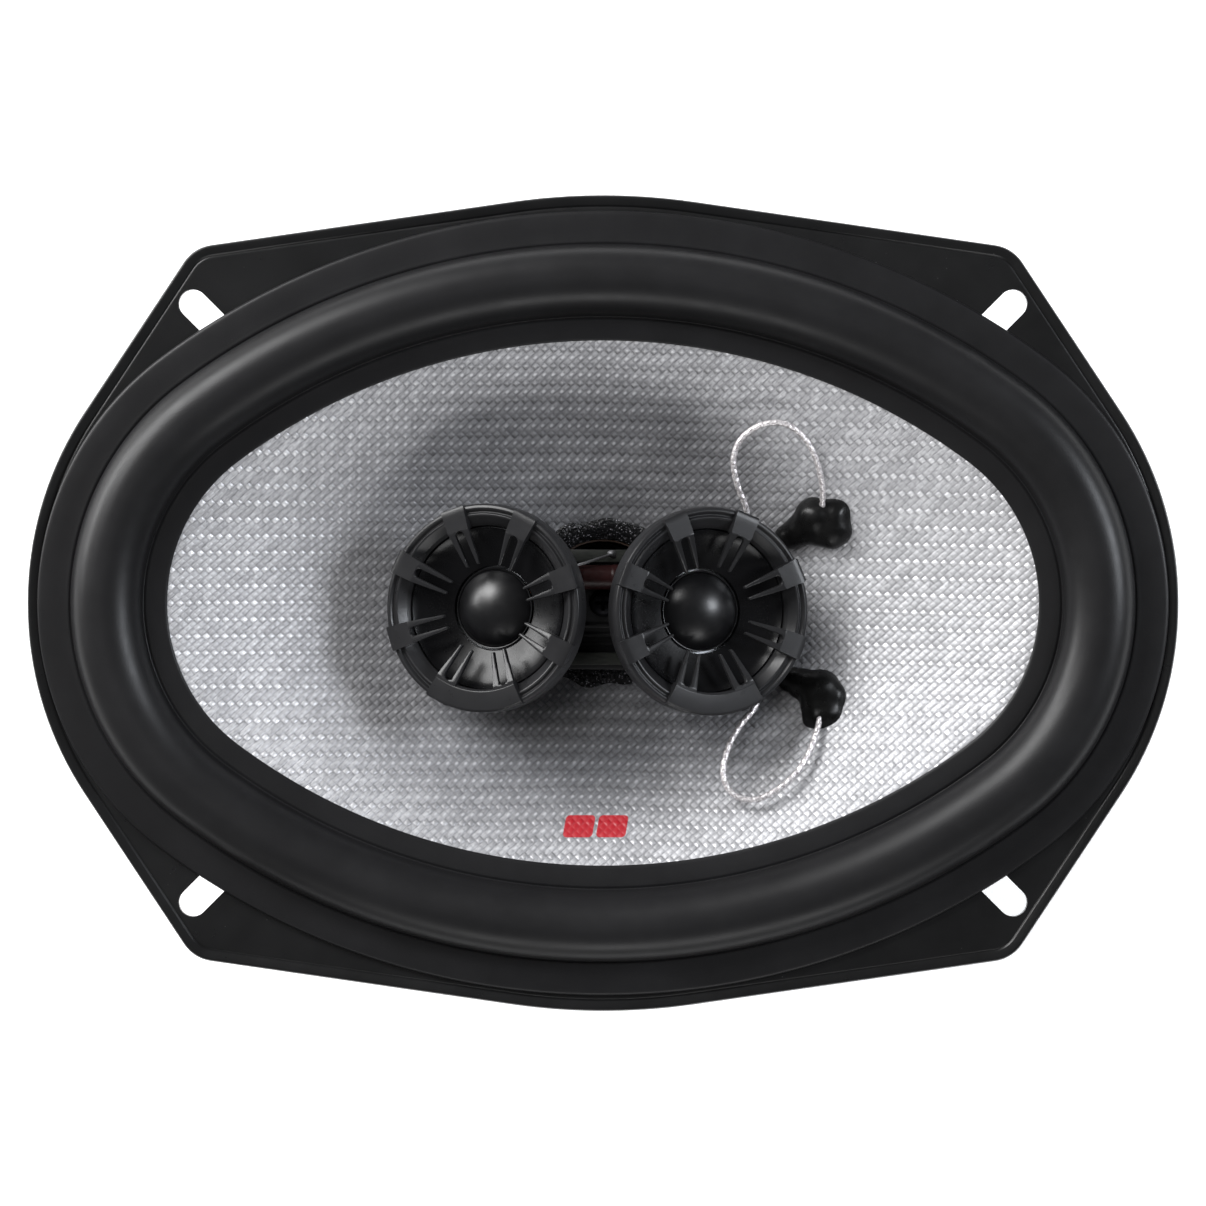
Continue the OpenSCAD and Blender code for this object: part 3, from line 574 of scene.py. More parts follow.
FOAM = grained("foam", (0.02, 0.02, 0.021), 0.9, 1.2, 0.25, 0.4)
GLASS_BLACK = grained("gloss_black", (0.003, 0.003, 0.0034), 0.28, 1.2, 0.002, 0.1, specular=0.2)
COIL_PAPER = grained("coil_paper", (0.03, 0.018, 0.013), 0.6, 3.0, 0.03, 0.25)
POST_FINISH = grained("post_finish", (0.018, 0.018, 0.02), 0.35, 2.0, 0.01, 0.2)
METAL_PATCH = 0.12


def metal(name, base, rough, lathe=0.0):
    """Plated or turned metal with tone patches; lathe adds fine rings round the Z axis."""
    p = Paint(name, base, rough, Metallic=1.0)
    p.colour(p.ramp(
        p.noise(0.12, 4, 0.6), (0.3, shaded(base, -METAL_PATCH)), (0.7, shaded(base, METAL_PATCH)),
    ))
    p.roughness(p.noise(0.9, 4, 0.7), (0.3, rough * 0.75), (0.7, min(1, rough * 1.35)))
    if lathe:
        feeds = {"W": p.length(*p.millimetres()) * MM, "Scale": 9 / MM, "Detail": 2}
        p.bump(p.node("TexNoise", feeds, noise_dimensions="1D").outputs["Fac"], lathe, 0.6)
    else:
        p.bump(p.noise(2.5, 3, 0.6), 0.008, 0.5)
    return p.mat


PLATED_STEEL = metal("plated_steel", (0.56, 0.57, 0.58), 0.32, 0.006)
POLE_STEEL = metal("pole_steel", (0.42, 0.43, 0.45), 0.38, 0.006)
RIVET_STEEL = metal("rivet_steel", (0.5, 0.5, 0.52), 0.34)
RIVET_BRASS = metal("rivet_brass", (0.62, 0.47, 0.2), 0.32)
TINNED_BRASS = metal("tinned_brass", (0.72, 0.6, 0.32), 0.28)
TINNED_STEEL = metal("tinned_steel", (0.68, 0.69, 0.71), 0.26)
BLACK_SCREW = metal("black_screw", (0.008, 0.008, 0.009), 0.5)
NICKEL = metal("nickel", (0.6, 0.58, 0.54), 0.22)
COPPER = metal("copper_wire", (0.72, 0.33, 0.16), 0.28)
WIRE_SILVER = metal("bare_wire", (0.2, 0.2, 0.21), 0.45)
SOLDER = metal("dull_solder", (0.12, 0.12, 0.125), 0.55)


def surround_paint():
    """Moulded butyl: satin black with a fine matte skin, dust specks and faint flow marks."""
    p = Paint("surround_rubber", (0.006, 0.006, 0.006), 0.5, 0.2)
    dark, light = (0.0068, 0.0067, 0.0071), (0.0094, 0.0093, 0.0099)
    tone = p.ramp(p.noise(0.05, 5, 0.65), (0.3, dark), (0.7, light))
    speck = p.ramp(p.cells(0.55), (0.0, 1.0), (0.03, 0.0))
    patchy = p.ramp(p.noise(0.03, 3, 0.6), (0.5, 0.0), (0.75, 0.5))
    p.colour(p.mix(speck * patchy, tone, (0.34, 0.32, 0.3)))
    p.roughness(p.noise(0.12, 5, 0.7), (0.25, 0.33), (0.75, 0.44))
    p.bump(p.noise(2.6, 3, 0.6), 0.03, 0.7)
    return p.mat


WEAVE_PITCH, WEAVE_ROW = 1.86, 3.45
WEAVE_LEFT, ROW_SAG, COLUMN_LEAN = 9.0, 0.033, 0.04
BAR_XS, BAR_Y, BAR_HALF, BAR_LEAN = (-4.9, 1.9), -45.8, (2.2, 1.4), 0.18


def cone_mark(p, x, y):
    """Two plain rounded bars printed near the lower edge of the cone, as a mask."""
    row_y = y - BAR_Y
    masks = []
    for centre in BAR_XS:
        dx = p.above(abs(x - row_y * BAR_LEAN - centre) - BAR_HALF[0])
        dy = p.above(abs(row_y) - BAR_HALF[1])
        masks.append(p.ramp(p.length(dx, dy), (0.78, 1.0), (0.86, 0.0)))
    return p.above(*masks)


def weave_paint():
    """Silver glass-fibre twill on the bias: rows of short floats, long slanted floats between them."""
    p = Paint("woven_cone", (0.55, 0.56, 0.58), 0.4)
    x, y = p.millimetres()
    # how far out on the cone, from a point a little left of its middle
    reach = p.length(x + WEAVE_LEFT, y) / 100
    # the rows sag a little towards the right, and wander
    drift = (p.noise(0.013, 2) - 0.5) * 2.2
    column = (x - y * COLUMN_LEAN) / WEAVE_PITCH
    level = (y + p.above(x) * ROW_SAG + drift) / (WEAVE_ROW / 2)
    rising, falling = column - level, column + level
    step = p.math("FLOORED_MODULO", p.math("FLOOR", falling) - p.math("FLOOR", rising), 4.0)
    short = p.math("LESS_THAN", step, 0.5)
    long = 1 - short
    in_rising, in_falling = p.math("FRACT", rising), p.math("FRACT", falling)
    # how far along a long float, from -1 to 1
    along = (step + in_falling - 2.5) / 1.5
    round_rising = 1 - abs(in_rising * 2 - 1) ** 2.2
    round_falling = 1 - abs(in_falling * 2 - 1) ** 2.2
    ends = 1 - abs(along) ** 3
    # the crossing threads pinch every long float into three beads
    beads = round_falling * 0.5 + 0.5
    long_height = round_rising * ends * beads * 0.8
    height = round_rising * round_falling * short + long_height * long
    strand_x = ((falling - rising) * short + rising) * 7
    strand_y = ((rising - falling) * short + falling) * 0.9
    fibre = p.noise(MM, 2, vector=p.node("CombineXYZ", {0: strand_x, 1: strand_y}).outputs[0])
    # painted shade in the hollows between threads, and a painted highlight on the short floats
    long_tone = p.ramp(
        height, (0.0, (0.16, 0.16, 0.168)), (0.3, (0.29, 0.29, 0.302)), (0.8, (0.375, 0.375, 0.39)),
    )
    short_tone = p.ramp(
        height, (0.0, (0.18, 0.18, 0.19)), (0.35, (0.46, 0.46, 0.48)), (0.7, (0.7, 0.7, 0.72)),
    )
    # painted highlight on the short floats at the ends of the oval, painted shade towards the neck
    sideways = x * x / (x * x + y * y * 1.5)
    painted_float_light = (sideways * 0.75 + 0.25) * p.ramp(reach, (0.42, 0.3), (0.62, 1.0))
    tone = p.mix(short * painted_float_light, long_tone, short_tone)
    tone = p.mix(p.ramp(fibre, (0.35, 0.0), (0.7, 0.4)), tone, (0.9, 0.9, 0.92))
    # each float takes the light a little differently
    middle = (falling + rising) / 4
    float_y = p.math("FLOOR", (falling - middle) * short + middle)
    thread = p.node("CombineXYZ", {0: p.math("FLOOR", rising), 1: float_y}).outputs[0]
    uneven = Field(p, p.node("TexWhiteNoise", {"Vector": thread}).outputs["Value"])
    tone = p.mix(uneven * 0.38, tone, (0.12, 0.12, 0.125))
    # painted shade makes the weave duller towards the neck
    painted_neck_shade = p.ramp(reach, (0.2, 0.52), (0.42, 0.55), (0.52, 0.26), (0.62, 0.03))
    tone = p.mix(painted_neck_shade, tone, (0.04, 0.04, 0.045))
    # there the long floats show only a painted highlight, a thin bright dash along their backs
    painted_dash_highlight = p.ramp(long_height, (0.62, 0.0), (0.76, 0.6)) * p.ramp(reach, (0.5, 1.0), (0.66, 0.0))
    tone = p.mix(painted_dash_highlight * long, tone, (0.5, 0.5, 0.52))
    mark = cone_mark(p, x, y)
    p.colour(p.mix(mark, tone, (0.26, 0.006, 0.012)))
    p.feed(p.shader.inputs["Metallic"], (1 - mark) * (short * 0.18 + 0.3))
    p.roughness(height, (0.0, 0.58), (1.0, 0.4))
    p.bump(height + fibre * 0.2, 0.2, 0.9)
    return p.mat


def sparkle_paint():
    """Black glue with small painted glints."""
    black = (0.006, 0.006, 0.0065)
    p = Paint("glint_glue", black, 0.3, 0.4)
    painted_glint = p.ramp(p.cells(1.7), (0.0, 1.0), (0.2, 1.0), (0.28, 0.0))
    rare = p.ramp(p.noise(0.8, 2), (0.3, 0.0), (0.5, 1.0))
    p.colour(p.mix(painted_glint * rare, black, (0.24, 0.23, 0.25)))
    p.roughness(p.noise(1.2), (0.3, 0.2), (0.7, 0.45))
    p.bump(p.cells(1.1, "SMOOTH_F1") + p.noise(2.2) * 0.8, 0.4)
    return p.mat


def mottled(name, base, rough, specular, tone, gloss, grain):
    """A finish of three noises. Tone and gloss give a noise and its stops, grain a noise and its bump."""
    p = Paint(name, base, rough, specular)
    p.colour(p.ramp(p.noise(*tone[0]), *tone[1:]))
    p.roughness(p.noise(*gloss[0]), *gloss[1:])
    p.bump(p.noise(*grain[0]), *grain[1:])
    return p.mat


def board_paint(name, base, streak):
    """Pressed laminate with short fibre streaks."""
    p = Paint(name, base, 0.5, 0.26)
    fibre = p.noise(2.0, 3, 0.6, p.scaled((0.25, 1, 1)))
    p.colour(p.ramp(fibre, (0.35, base), (0.7, streak)))
    p.roughness(p.noise(1.0), (0.3, 0.42), (0.7, 0.6))
    p.bump(fibre, 0.03, 0.5)
    return p.mat


def cloth_paint():
    """Resin-dipped spider cloth, over-and-under threads."""
    p = Paint("spider_cloth", (0.5, 0.33, 0.12), 0.7, Sheen_Weight=0.25)
    per_mm = 2 * pi / 0.9
    warp, weft = (p.math("SINE", axis * per_mm) for axis in p.millimetres())
    thread = warp * weft * 0.5 + 0.5
    tone = p.ramp(thread, (0.1, (0.28, 0.16, 0.05)), (0.8, (0.56, 0.38, 0.15)))
    p.colour(p.mix(p.noise(0.2, 4) * 0.5, tone, (0.4, 0.25, 0.08)))
    p.bump(thread, 0.12, 0.8)
    return p.mat


SURROUND_RUBBER = surround_paint()
WOVEN_CONE = weave_paint()
PAINTED_GLINT_GLUE = sparkle_paint()
BLACK_GLUE = mottled(
    "black_glue", (0.004, 0.004, 0.004), 0.3, 0.15, ((0.3, 3), (0.3, 0.0025), (0.7, 0.006)),
    ((0.5, 3), (0.35, 0.24), (0.65, 0.4)), ((0.4, 3, 0.5), 0.1, 0.5),
)
DOME_FILM = mottled(
    "dome_film", (0.004, 0.004, 0.0045), 0.34, 0.4,
    ((0.3, 3), (0.3, (0.0035, 0.0035, 0.004)), (0.7, (0.005, 0.005, 0.0055))),
    ((0.6, 3), (0.3, 0.33), (0.7, 0.37)), ((4, 2), 0.003, 0.3),
)
CAPACITOR_RESIN = mottled(
    "capacitor_resin", (0.01, 0.003, 0.003), 0.5, 0.14,
    ((0.5, 4), (0.3, (0.007, 0.002, 0.002)), (0.7, (0.013, 0.0035, 0.0035))),
    ((1.2, 3), (0.3, 0.3), (0.7, 0.5)), ((1.4, 3), 0.05, 0.5),
)
PHENOLIC = board_paint("board_phenolic", (0.15, 0.07, 0.03), (0.24, 0.13, 0.06))
TAG_BOARD = board_paint("tag_board", (0.006, 0.007, 0.006), (0.014, 0.015, 0.013))
DARK_BOARD = board_paint("dark_tag_board", (0.010, 0.011, 0.010), (0.022, 0.023, 0.020))
SPIDER_CLOTH = cloth_paint()


def finish_piece(obj, material, body, slot, *nodes):
    """Gives a piece its material and its body, and hides the CAD nodes it stands for. The slot is not used.
    """
    obj.data.materials.clear()
    obj.data.materials.append(material)
    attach(obj, body)
    if nodes:
        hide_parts(*nodes)
    return obj


# ---- Basket: flange, wall, ledge, legs and pan, one pressing ----

TOP_SLOPE, SIDE_SLOPE = radians(8.2), radians(56.5)
CROWN_R, EAR_R, END_R, END_Y = 130.0, 8.0, 70.0, 21.4
CROWN_Y = FLANGE_W / 2 + CROWN_R * (1 / cos(TOP_SLOPE) - 1)
EAR_X = (END_Y + FLANGE_L / 2 * tan(SIDE_SLOPE) - CROWN_Y) / (tan(SIDE_SLOPE) - tan(TOP_SLOPE))
EAR_Y = CROWN_Y - EAR_X * tan(TOP_SLOPE)
SLOT_X, SLOT_Y, SLOT_W, SLOT_RUN, SLOT_STEPS = 83.7, 61.1, 5.8, 6.0, 12
FLANGE_TOP = 2.25


def arc_corner(a, b, c, r, spacing):
    """Points of the arc that rounds corner b."""
    a, b, c = (np.array(q, float) for q in (a, b, c))
    u, w = (a - b) / np.linalg.norm(a - b), (c - b) / np.linalg.norm(c - b)
    half = acos(float(u @ w)) / 2
    middle = b + (u + w) / np.linalg.norm(u + w) * r / sin(half)
    first = b + u * r / tan(half) - middle
    start = atan2(first[1], first[0])
    sweep = pi - 2 * half
    count = max(6, int(ceil(r * sweep / spacing)))
    return [middle + r * np.array([cos(start + sweep * i / count), sin(start + sweep * i / count)])
            for i in range(count + 1)]


def flange_outline(spacing=2.5):
    """The flange's outline, evenly stepped, with the outward normal at each point."""
    quarter = [(FLANGE_L / 2, END_Y, END_R), (EAR_X, EAR_Y, EAR_R), (0, CROWN_Y, CROWN_R)]
    corners = quarter + [(-x, y, r) for x, y, r in quarter[1::-1]]
    corners += [(-x, -y, r) for x, y, r in corners]
    pts = []
    n = len(corners)
    for i in range(n):
        a, b, c = corners[i - 1], corners[i], corners[(i + 1) % n]
        pts += arc_corner(a[:2], b[:2], c[:2], b[2], spacing if b[2] > 20 else 1.0)
    full = []
    for i, p in enumerate(pts):
        q = pts[(i + 1) % len(pts)]
        gap = np.linalg.norm(q - p)
        if gap < 1e-6:
            continue
        count = max(1, int(round(gap / spacing)))
        full += [p + (q - p) * k / count for k in range(count)]
    full = np.array(full)
    ahead, behind = np.roll(full, -1, 0), np.roll(full, 1, 0)
    t = ahead - behind
    t /= np.linalg.norm(t, axis=1)[:, None]
    return full, np.stack([t[:, 1], -t[:, 0]], 1)


def slot_cutter(side_x, side_y):
    """A prism with two round ends, which runs in from one ear towards the middle."""
    outline = []
    for end, start in ((0, pi / 2), (SLOT_RUN, -pi / 2)):
        for i in range(SLOT_STEPS + 1):
            t = start + pi * i / SLOT_STEPS
            outline.append((end + SLOT_W / 2 * cos(t), SLOT_W / 2 * sin(t)))
    angle = atan2(-side_y, -side_x)
    ca, sa = cos(angle), sin(angle)
    x, y = side_x * SLOT_X, side_y * SLOT_Y
    return plate("slot", [(x + a * ca - b * sa, y + a * sa + b * ca) for a, b in outline], -1, 4, 0)


def build_flange():
    """The flange with its raised rim, the wall down to the ledge, and the four slots."""
    edge, normal = flange_outline()
    turn = np.arctan2(edge[:, 1], edge[:, 0])
    wall = HOLE_OUT - SHEET_T
    # the lip and the underside are measured in from the edge, and the throat out from the cone's oval
    lip = [
        (0, 0.45), (0, 1.9), (0.08, 2.3), (0.25, 2.62), (0.5, 2.72), (0.75, 2.7), (1.9, 2.44),
        (2.05, 2.38), (2.2, 2.24), (2.36, FLANGE_TOP - 0.14), (2.55, FLANGE_TOP - 0.02), (2.9, FLANGE_TOP),
    ]
    throat = [
        (HOLE_OUT + 6, FLANGE_TOP), (wall + 1.2, FLANGE_TOP), (wall + 0.35, FLANGE_TOP - 0.3),
        (wall, FLANGE_TOP - 1), (wall, LEDGE_Z + 3.2), (wall - 0.4, LEDGE_Z + 2),
        (wall - 1.4, LEDGE_Z + SHEET_T), (10.5, LEDGE_Z + SHEET_T), (10.1, LEDGE_Z + 1.3),
        (10, LEDGE_Z + 0.75), (10.1, LEDGE_Z + 0.2), (10.5, LEDGE_Z), (HOLE_OUT - 1.8, LEDGE_Z),
        (HOLE_OUT - 0.5, LEDGE_Z + 0.5), (HOLE_OUT, LEDGE_Z + 1.8), (HOLE_OUT, -1.6),
        (HOLE_OUT + 0.4, -0.5), (HOLE_OUT + 1.6, 0),
    ]
    underside = [(2.4, 0), (0.5, 0), (0.1, 0.12)]
    columns = []
    for section, from_edge in ((lip, True), (throat, False), (underside, True)):
        for where, z in section:
            r = oval_radius(turn, where)
            oval = np.stack([r * np.cos(turn), r * np.sin(turn)], 1)
            plan = edge - normal * where if from_edge else oval
            columns.append(np.column_stack([plan, np.full(len(edge), z)]))
    points = np.stack(columns, 1)
    flange = grid("flange", points)
    return cut(flange, *[slot_cutter(sx, sy) for sx in (-1, 1) for sy in (-1, 1)])


def build_leg(angle):
    """A channel-shaped leg that widens where it joins the ledge and the pan."""
    top_r = float(oval_radius(radians(angle), HOLE_OUT - 4)) - 0.2
    foot_r = CUP_R - 0.7
    section = fillet([
        (-6, 0, 0.8), (6, 0, 0.8), (6, -2.3, 0.4), (4.8, -2.3, 0.3), (4.8, -1.3, 0.5),
        (-4.8, -1.3, 0.5), (-4.8, -2.3, 0.3), (-6, -2.3, 0.4),
    ], 3)
    stations = 16
    points = np.zeros((stations + 1, len(section), 3))
    for i in range(stations + 1):
        f = i / stations
        r = top_r + (foot_r - top_r) * f
        z = LEDGE_Z + 0.75 + (LANDING_Z - 0.75 - LEDGE_Z - 0.75) * (f + 0.06 * sin(2 * pi * f))
        wide = 1 + 0.5 * max(0, 1 - f / 0.28) ** 2 + 0.5 * max(0, 1 - (1 - f) / 0.24) ** 2
        points[i, :, 0] = r + section[:, 1]
        points[i, :, 1] = section[:, 0] * wide
        points[i, :, 2] = z
    return put(bar("leg", points), Matrix.Rotation(radians(angle), 4, "Z"))


def build_basket():
    legs = [build_leg(a) for a in LEG_ANGLES]
    wall = CUP_R - SHEET_T
    cup = turned("pan", [
        (LANDING_R, LANDING_Z - SHEET_T, 0.4), (wall, LANDING_Z - SHEET_T, 0.3), (wall, CUP_Z, 1.6),
        (GAP_R + 5, CUP_Z, 0.4), (GAP_R + 5, PLATE_Z, 0.4), (CUP_R, PLATE_Z, 2.2),
        (CUP_R, LANDING_Z, 0.7), (LANDING_R, LANDING_Z, 0.4),
    ], 144)
    shelf = box_mesh("shelf", (49, -13, LANDING_Z - SHEET_T), (65, 13, LANDING_Z - 0.02), 0.4)
    return joined("basket_frame", build_flange(), cup, shelf, *legs)


finish_piece(build_basket(), FRAME_PAINT, "root", "black_frame_steel", "basket")

# ---- Rubber surround ----

ROLL_STEPS = 30


def build_surround():
    """The strip on the cone, the half roll and the lip on the flange, as one ring."""
    half = ROLL_W / 2
    middle = STRIP_W + half
    base_in, base_out, under_out = 2.5, 4.3, 2.3
    arch, under = [], []
    for f in (i / ROLL_STEPS for i in range(ROLL_STEPS + 1)):
        t = pi * (1 - f)
        z = base_in + (base_out - base_in) * f + 7.5 * sin(t) ** 0.92
        arch.append((middle + half * cos(t), z))
        t = pi * f
        z = under_out + (RIM_Z - under_out) * f + 8.0 * sin(t)
        under.append((middle + (half - 0.95) * cos(t), z))
    # the crease outside the roll and the flat lip, measured out from the roll
    lip = [
        (0.02, 4.35), (0.1, 3.95), (0.16, 3.7), (0.24, 3.6), (0.34, 3.62), (0.48, 3.76), (0.66, 3.8),
        (1.0, 3.76), (1.6, 3.7), (3.2, 3.72), (4.8, 3.68), (6.1, 3.58), (6.6, 3.5), (6.85, 3.36),
        (7.0, 3.1),
    ]
    profile = [
        (0.0, RIM_Z + 0.03), (0.0, 1.8), (0.1, 2.0), (0.3, 2.12), (0.8, 2.2), (2.4, 2.42), (4.1, 2.6),
        (4.4, 2.58), (4.6, 2.38), (4.78, 2.36), (4.92, 2.46),
        *arch[1:-1], *[(ROLL_OUT + out, z) for out, z in lip],
        (LIP_OUT - 0.1, FLANGE_TOP), (LIP_OUT - 0.4, FLANGE_TOP - 0.03),
        (ROLL_OUT - 0.3, FLANGE_TOP - 0.03),
        *under,
        (STRIP_W - 0.2, RIM_Z + 0.01),
    ]
    return oval_ring("rubber_surround", profile, 360, 50)


surround = build_surround()
surround_x, surround_y, _ = points_of(surround).T
finish_blended(
    surround, SURROUND_RUBBER, "surround",
)

# ---- Cone, its neck glue and the glue lumps ----


def cone_height(share):
    """Height of the cone's front face at a share of the way from neck to rim."""
    return NECK_Z + CONE_DEPTH * np.power(share, 0.9)


def cone_surface(x, y):
    """Height of the cone's front face above a point of the plan."""
    t, r = np.arctan2(y, x), np.hypot(x, y)
    share = (r - NECK_R) / (oval_radius(t, 0) - NECK_R)
    return cone_height(np.clip(share, 0, 1))


def build_cone():
    """The cone as a thin shell with its neck and the strip under the surround."""
    shares = np.concatenate([[0, 0.015, 0.04], np.linspace(0.08, 1, 24)])
    steps = 320
    loops = []
    for i in range(steps):
        t = 2 * pi * i / steps
        edge = float(oval_radius(t, 0))
        r = NECK_R + (edge - NECK_R) * shares
        front = [(NECK_R, NECK_Z - 2)] + list(zip(r, cone_height(shares)))
        outer = float(oval_radius(t, STRIP_W - 0.2))
        rim = [(outer, RIM_Z), (outer, RIM_Z - CONE_T)]
        back = list(zip(r[:0:-1] + CONE_T * 0.3, cone_height(shares[:0:-1]) - CONE_T))
        back += [(NECK_R + CONE_T, NECK_Z - 0.6), (NECK_R + CONE_T, NECK_Z - 2)]
        loops.append([(a * cos(t), a * sin(t), b) for a, b in front + rim + back])
    return grid("woven_cone", loops, sharp=30)


finish_piece(build_cone(), WOVEN_CONE, "cone", "glass_fibre", "cone")


def wobble(seed, count=6, low=2, high=14):
    """A smooth periodic noise of one angle, from -1 to 1."""
    rng = np.random.default_rng(seed)
    waves = [
        (rng.integers(low, high), rng.uniform(0, 2 * pi), rng.uniform(0.4, 1)) for _ in range(count)
    ]
    total = sum(w[2] for w in waves)

    def at(t):
        return sum(a * np.sin(k * t + phase) for k, phase, a in waves) / total * 1.8

    return at


def build_neck_glue():
    """An uneven bead of glue round the neck, laid on the cone."""
    steps, across = 360, 22
    wide, tall, ripple = wobble(11), wobble(12), wobble(13, 8, 12, 46)
    loops = []
    for i in range(steps):
        t = 2 * pi * i / steps
        r_in = FORMER_R + FORMER_T + 0.02
        r_out = 17.6 + 0.7 * wide(t)
        loop = []
        for k in range(across + 1):
            f = k / across
            r = r_in + (r_out - r_in) * f
            x, y = r * cos(t), r * sin(t)
            bead = (1.35 + 0.3 * tall(t)) * sin(pi * min(1, 0.12 + 0.88 * f)) ** 0.7
            bead += 0.16 * ripple(t + 0.9 * f) * sin(pi * f)
            loop.append((x, y, float(cone_surface(x, y)) + max(0.02, bead)))
        for k in range(across, -1, -4):
            r = r_in + (r_out - r_in) * k / across
            x, y = r * cos(t), r * sin(t)
            loop.append((x, y, float(cone_surface(x, y)) - 0.35))
        loops.append(loop)
    return grid("neck_glue", loops, sharp=80)


finish_piece(build_neck_glue(), PAINTED_GLINT_GLUE, "cone", "black_glue", "neck_glue_ring")


def build_lump(name, balls, seed):
    """Balls of glue run together: joined, remeshed, smoothed and pushed about a little."""
    bm = bmesh.new()
    for x, y, z, r in balls:
        bmesh.ops.create_icosphere(bm, subdivisions=3, radius=r * MM, matrix=shifted(x, y, z))
    obj = modified(from_bmesh(name, bm), "REMESH", mode="VOXEL", voxel_size=0.4 * MM)
    modified(obj, "SMOOTH", factor=0.7, iterations=34)
    rng = np.random.default_rng(seed)
    co = np.array([v.co for v in obj.data.vertices])
    normals = np.array([v.normal for v in obj.data.vertices])
    push = np.zeros(len(co))
    for _ in range(14):
        direction = rng.normal(size=3)
        direction /= np.linalg.norm(direction)
        share = rng.uniform(0.3, 1)
        push += share * np.sin(co @ direction / MM * rng.uniform(0.7, 2.2) + rng.uniform(0, 6.28))
    co += normals * (push / 14 * 0.5 * MM)[:, None]
    obj.data.vertices.foreach_set("co", co.ravel())
    clean(obj, 80)
    return obj


UPPER_LUMP = (
    (47.5, 15.2, -11.7, 4.2), (47.9, 18.4, -11.0, 3.6), (43.9, 17.7, -11.9, 4.6),
    (45.6, 15.2, -12.2, 4.0), (41.2, 15.3, -13.9, 3.7), (39.0, 14.0, -15.3, 3.1),
    (37.4, 13.5, -16.2, 2.4),
)
LOWER_LUMP = (
    (44.8, -18.2, -11.9, 4.7), (46.7, -19.4, -11.4, 3.9), (46.4, -22.8, -10.6, 3.5),
    (43.5, -23.9, -10.8, 2.7), (44.8, -23.6, -9.6, 2.7), (44.0, -21.0, -11.3, 3.6),
    (41.2, -16.7, -13.6, 3.5), (38.7, -15.7, -15.1, 2.9),
)
for name, balls, seed in (("upper_glue", UPPER_LUMP, 3), ("lower_glue", LOWER_LUMP, 4)):
    finish_piece(build_lump(name, balls, seed), BLACK_GLUE, "cone", "black_glue", f"{name}_blob")

# ---- Spider ----


def build_spider():
    """The corrugated cloth, whose waves fade towards its flat foot."""
    first_r, foot_r = FORMER_R + FORMER_T, LANDING_R - 0.4
    waves, steps, cloth = 6, 84, 0.6
    top = []
    for i in range(steps + 1):
        f = i / steps
        z = LANDING_Z + 1.1 * (1 - f) + 1.1 * sin(2 * pi * waves * f) * (1 - f * f)
        top.append((first_r + (foot_r - first_r) * f, z + cloth))
    foot = [
        (SPIDER_R - 0.2, LANDING_Z + cloth), (SPIDER_R, LANDING_Z + 0.3),
        (SPIDER_R - 0.1, LANDING_Z + 0.02),
    ]
    under = [(r, z - cloth + 0.02) for r, z in reversed(top)]
    return turned("spider_cloth_disc", top + foot + under, 144, sharp=60)


spider = build_spider()
finish_blended(
    spider, SPIDER_CLOTH, "spider",
)

# ---- Tweeters ----

BRIDGE_X, BRIDGE_Y, BRIDGE_TURN = -1.15, -1.35, radians(-0.8)
SPACING, TILT, FACE_Z, HOUSING_D = 47.6, radians(21), 6.0, 16
TWIST = {"left": radians(-4), "right": radians(2)}
SIDES = (("left", -1), ("right", 1))


def tweeter_place(side):
    """From a tweeter's own frame, with its origin in its face, to the row frame, in metres."""
    return (
        shifted(BRIDGE_X, BRIDGE_Y, FACE_Z)
        @ Matrix.Rotation(BRIDGE_TURN, 4, "Z")
        @ shifted(side * SPACING / 2, 0, 0)
        @ Matrix.Rotation(side * TILT, 4, "Y")
    )


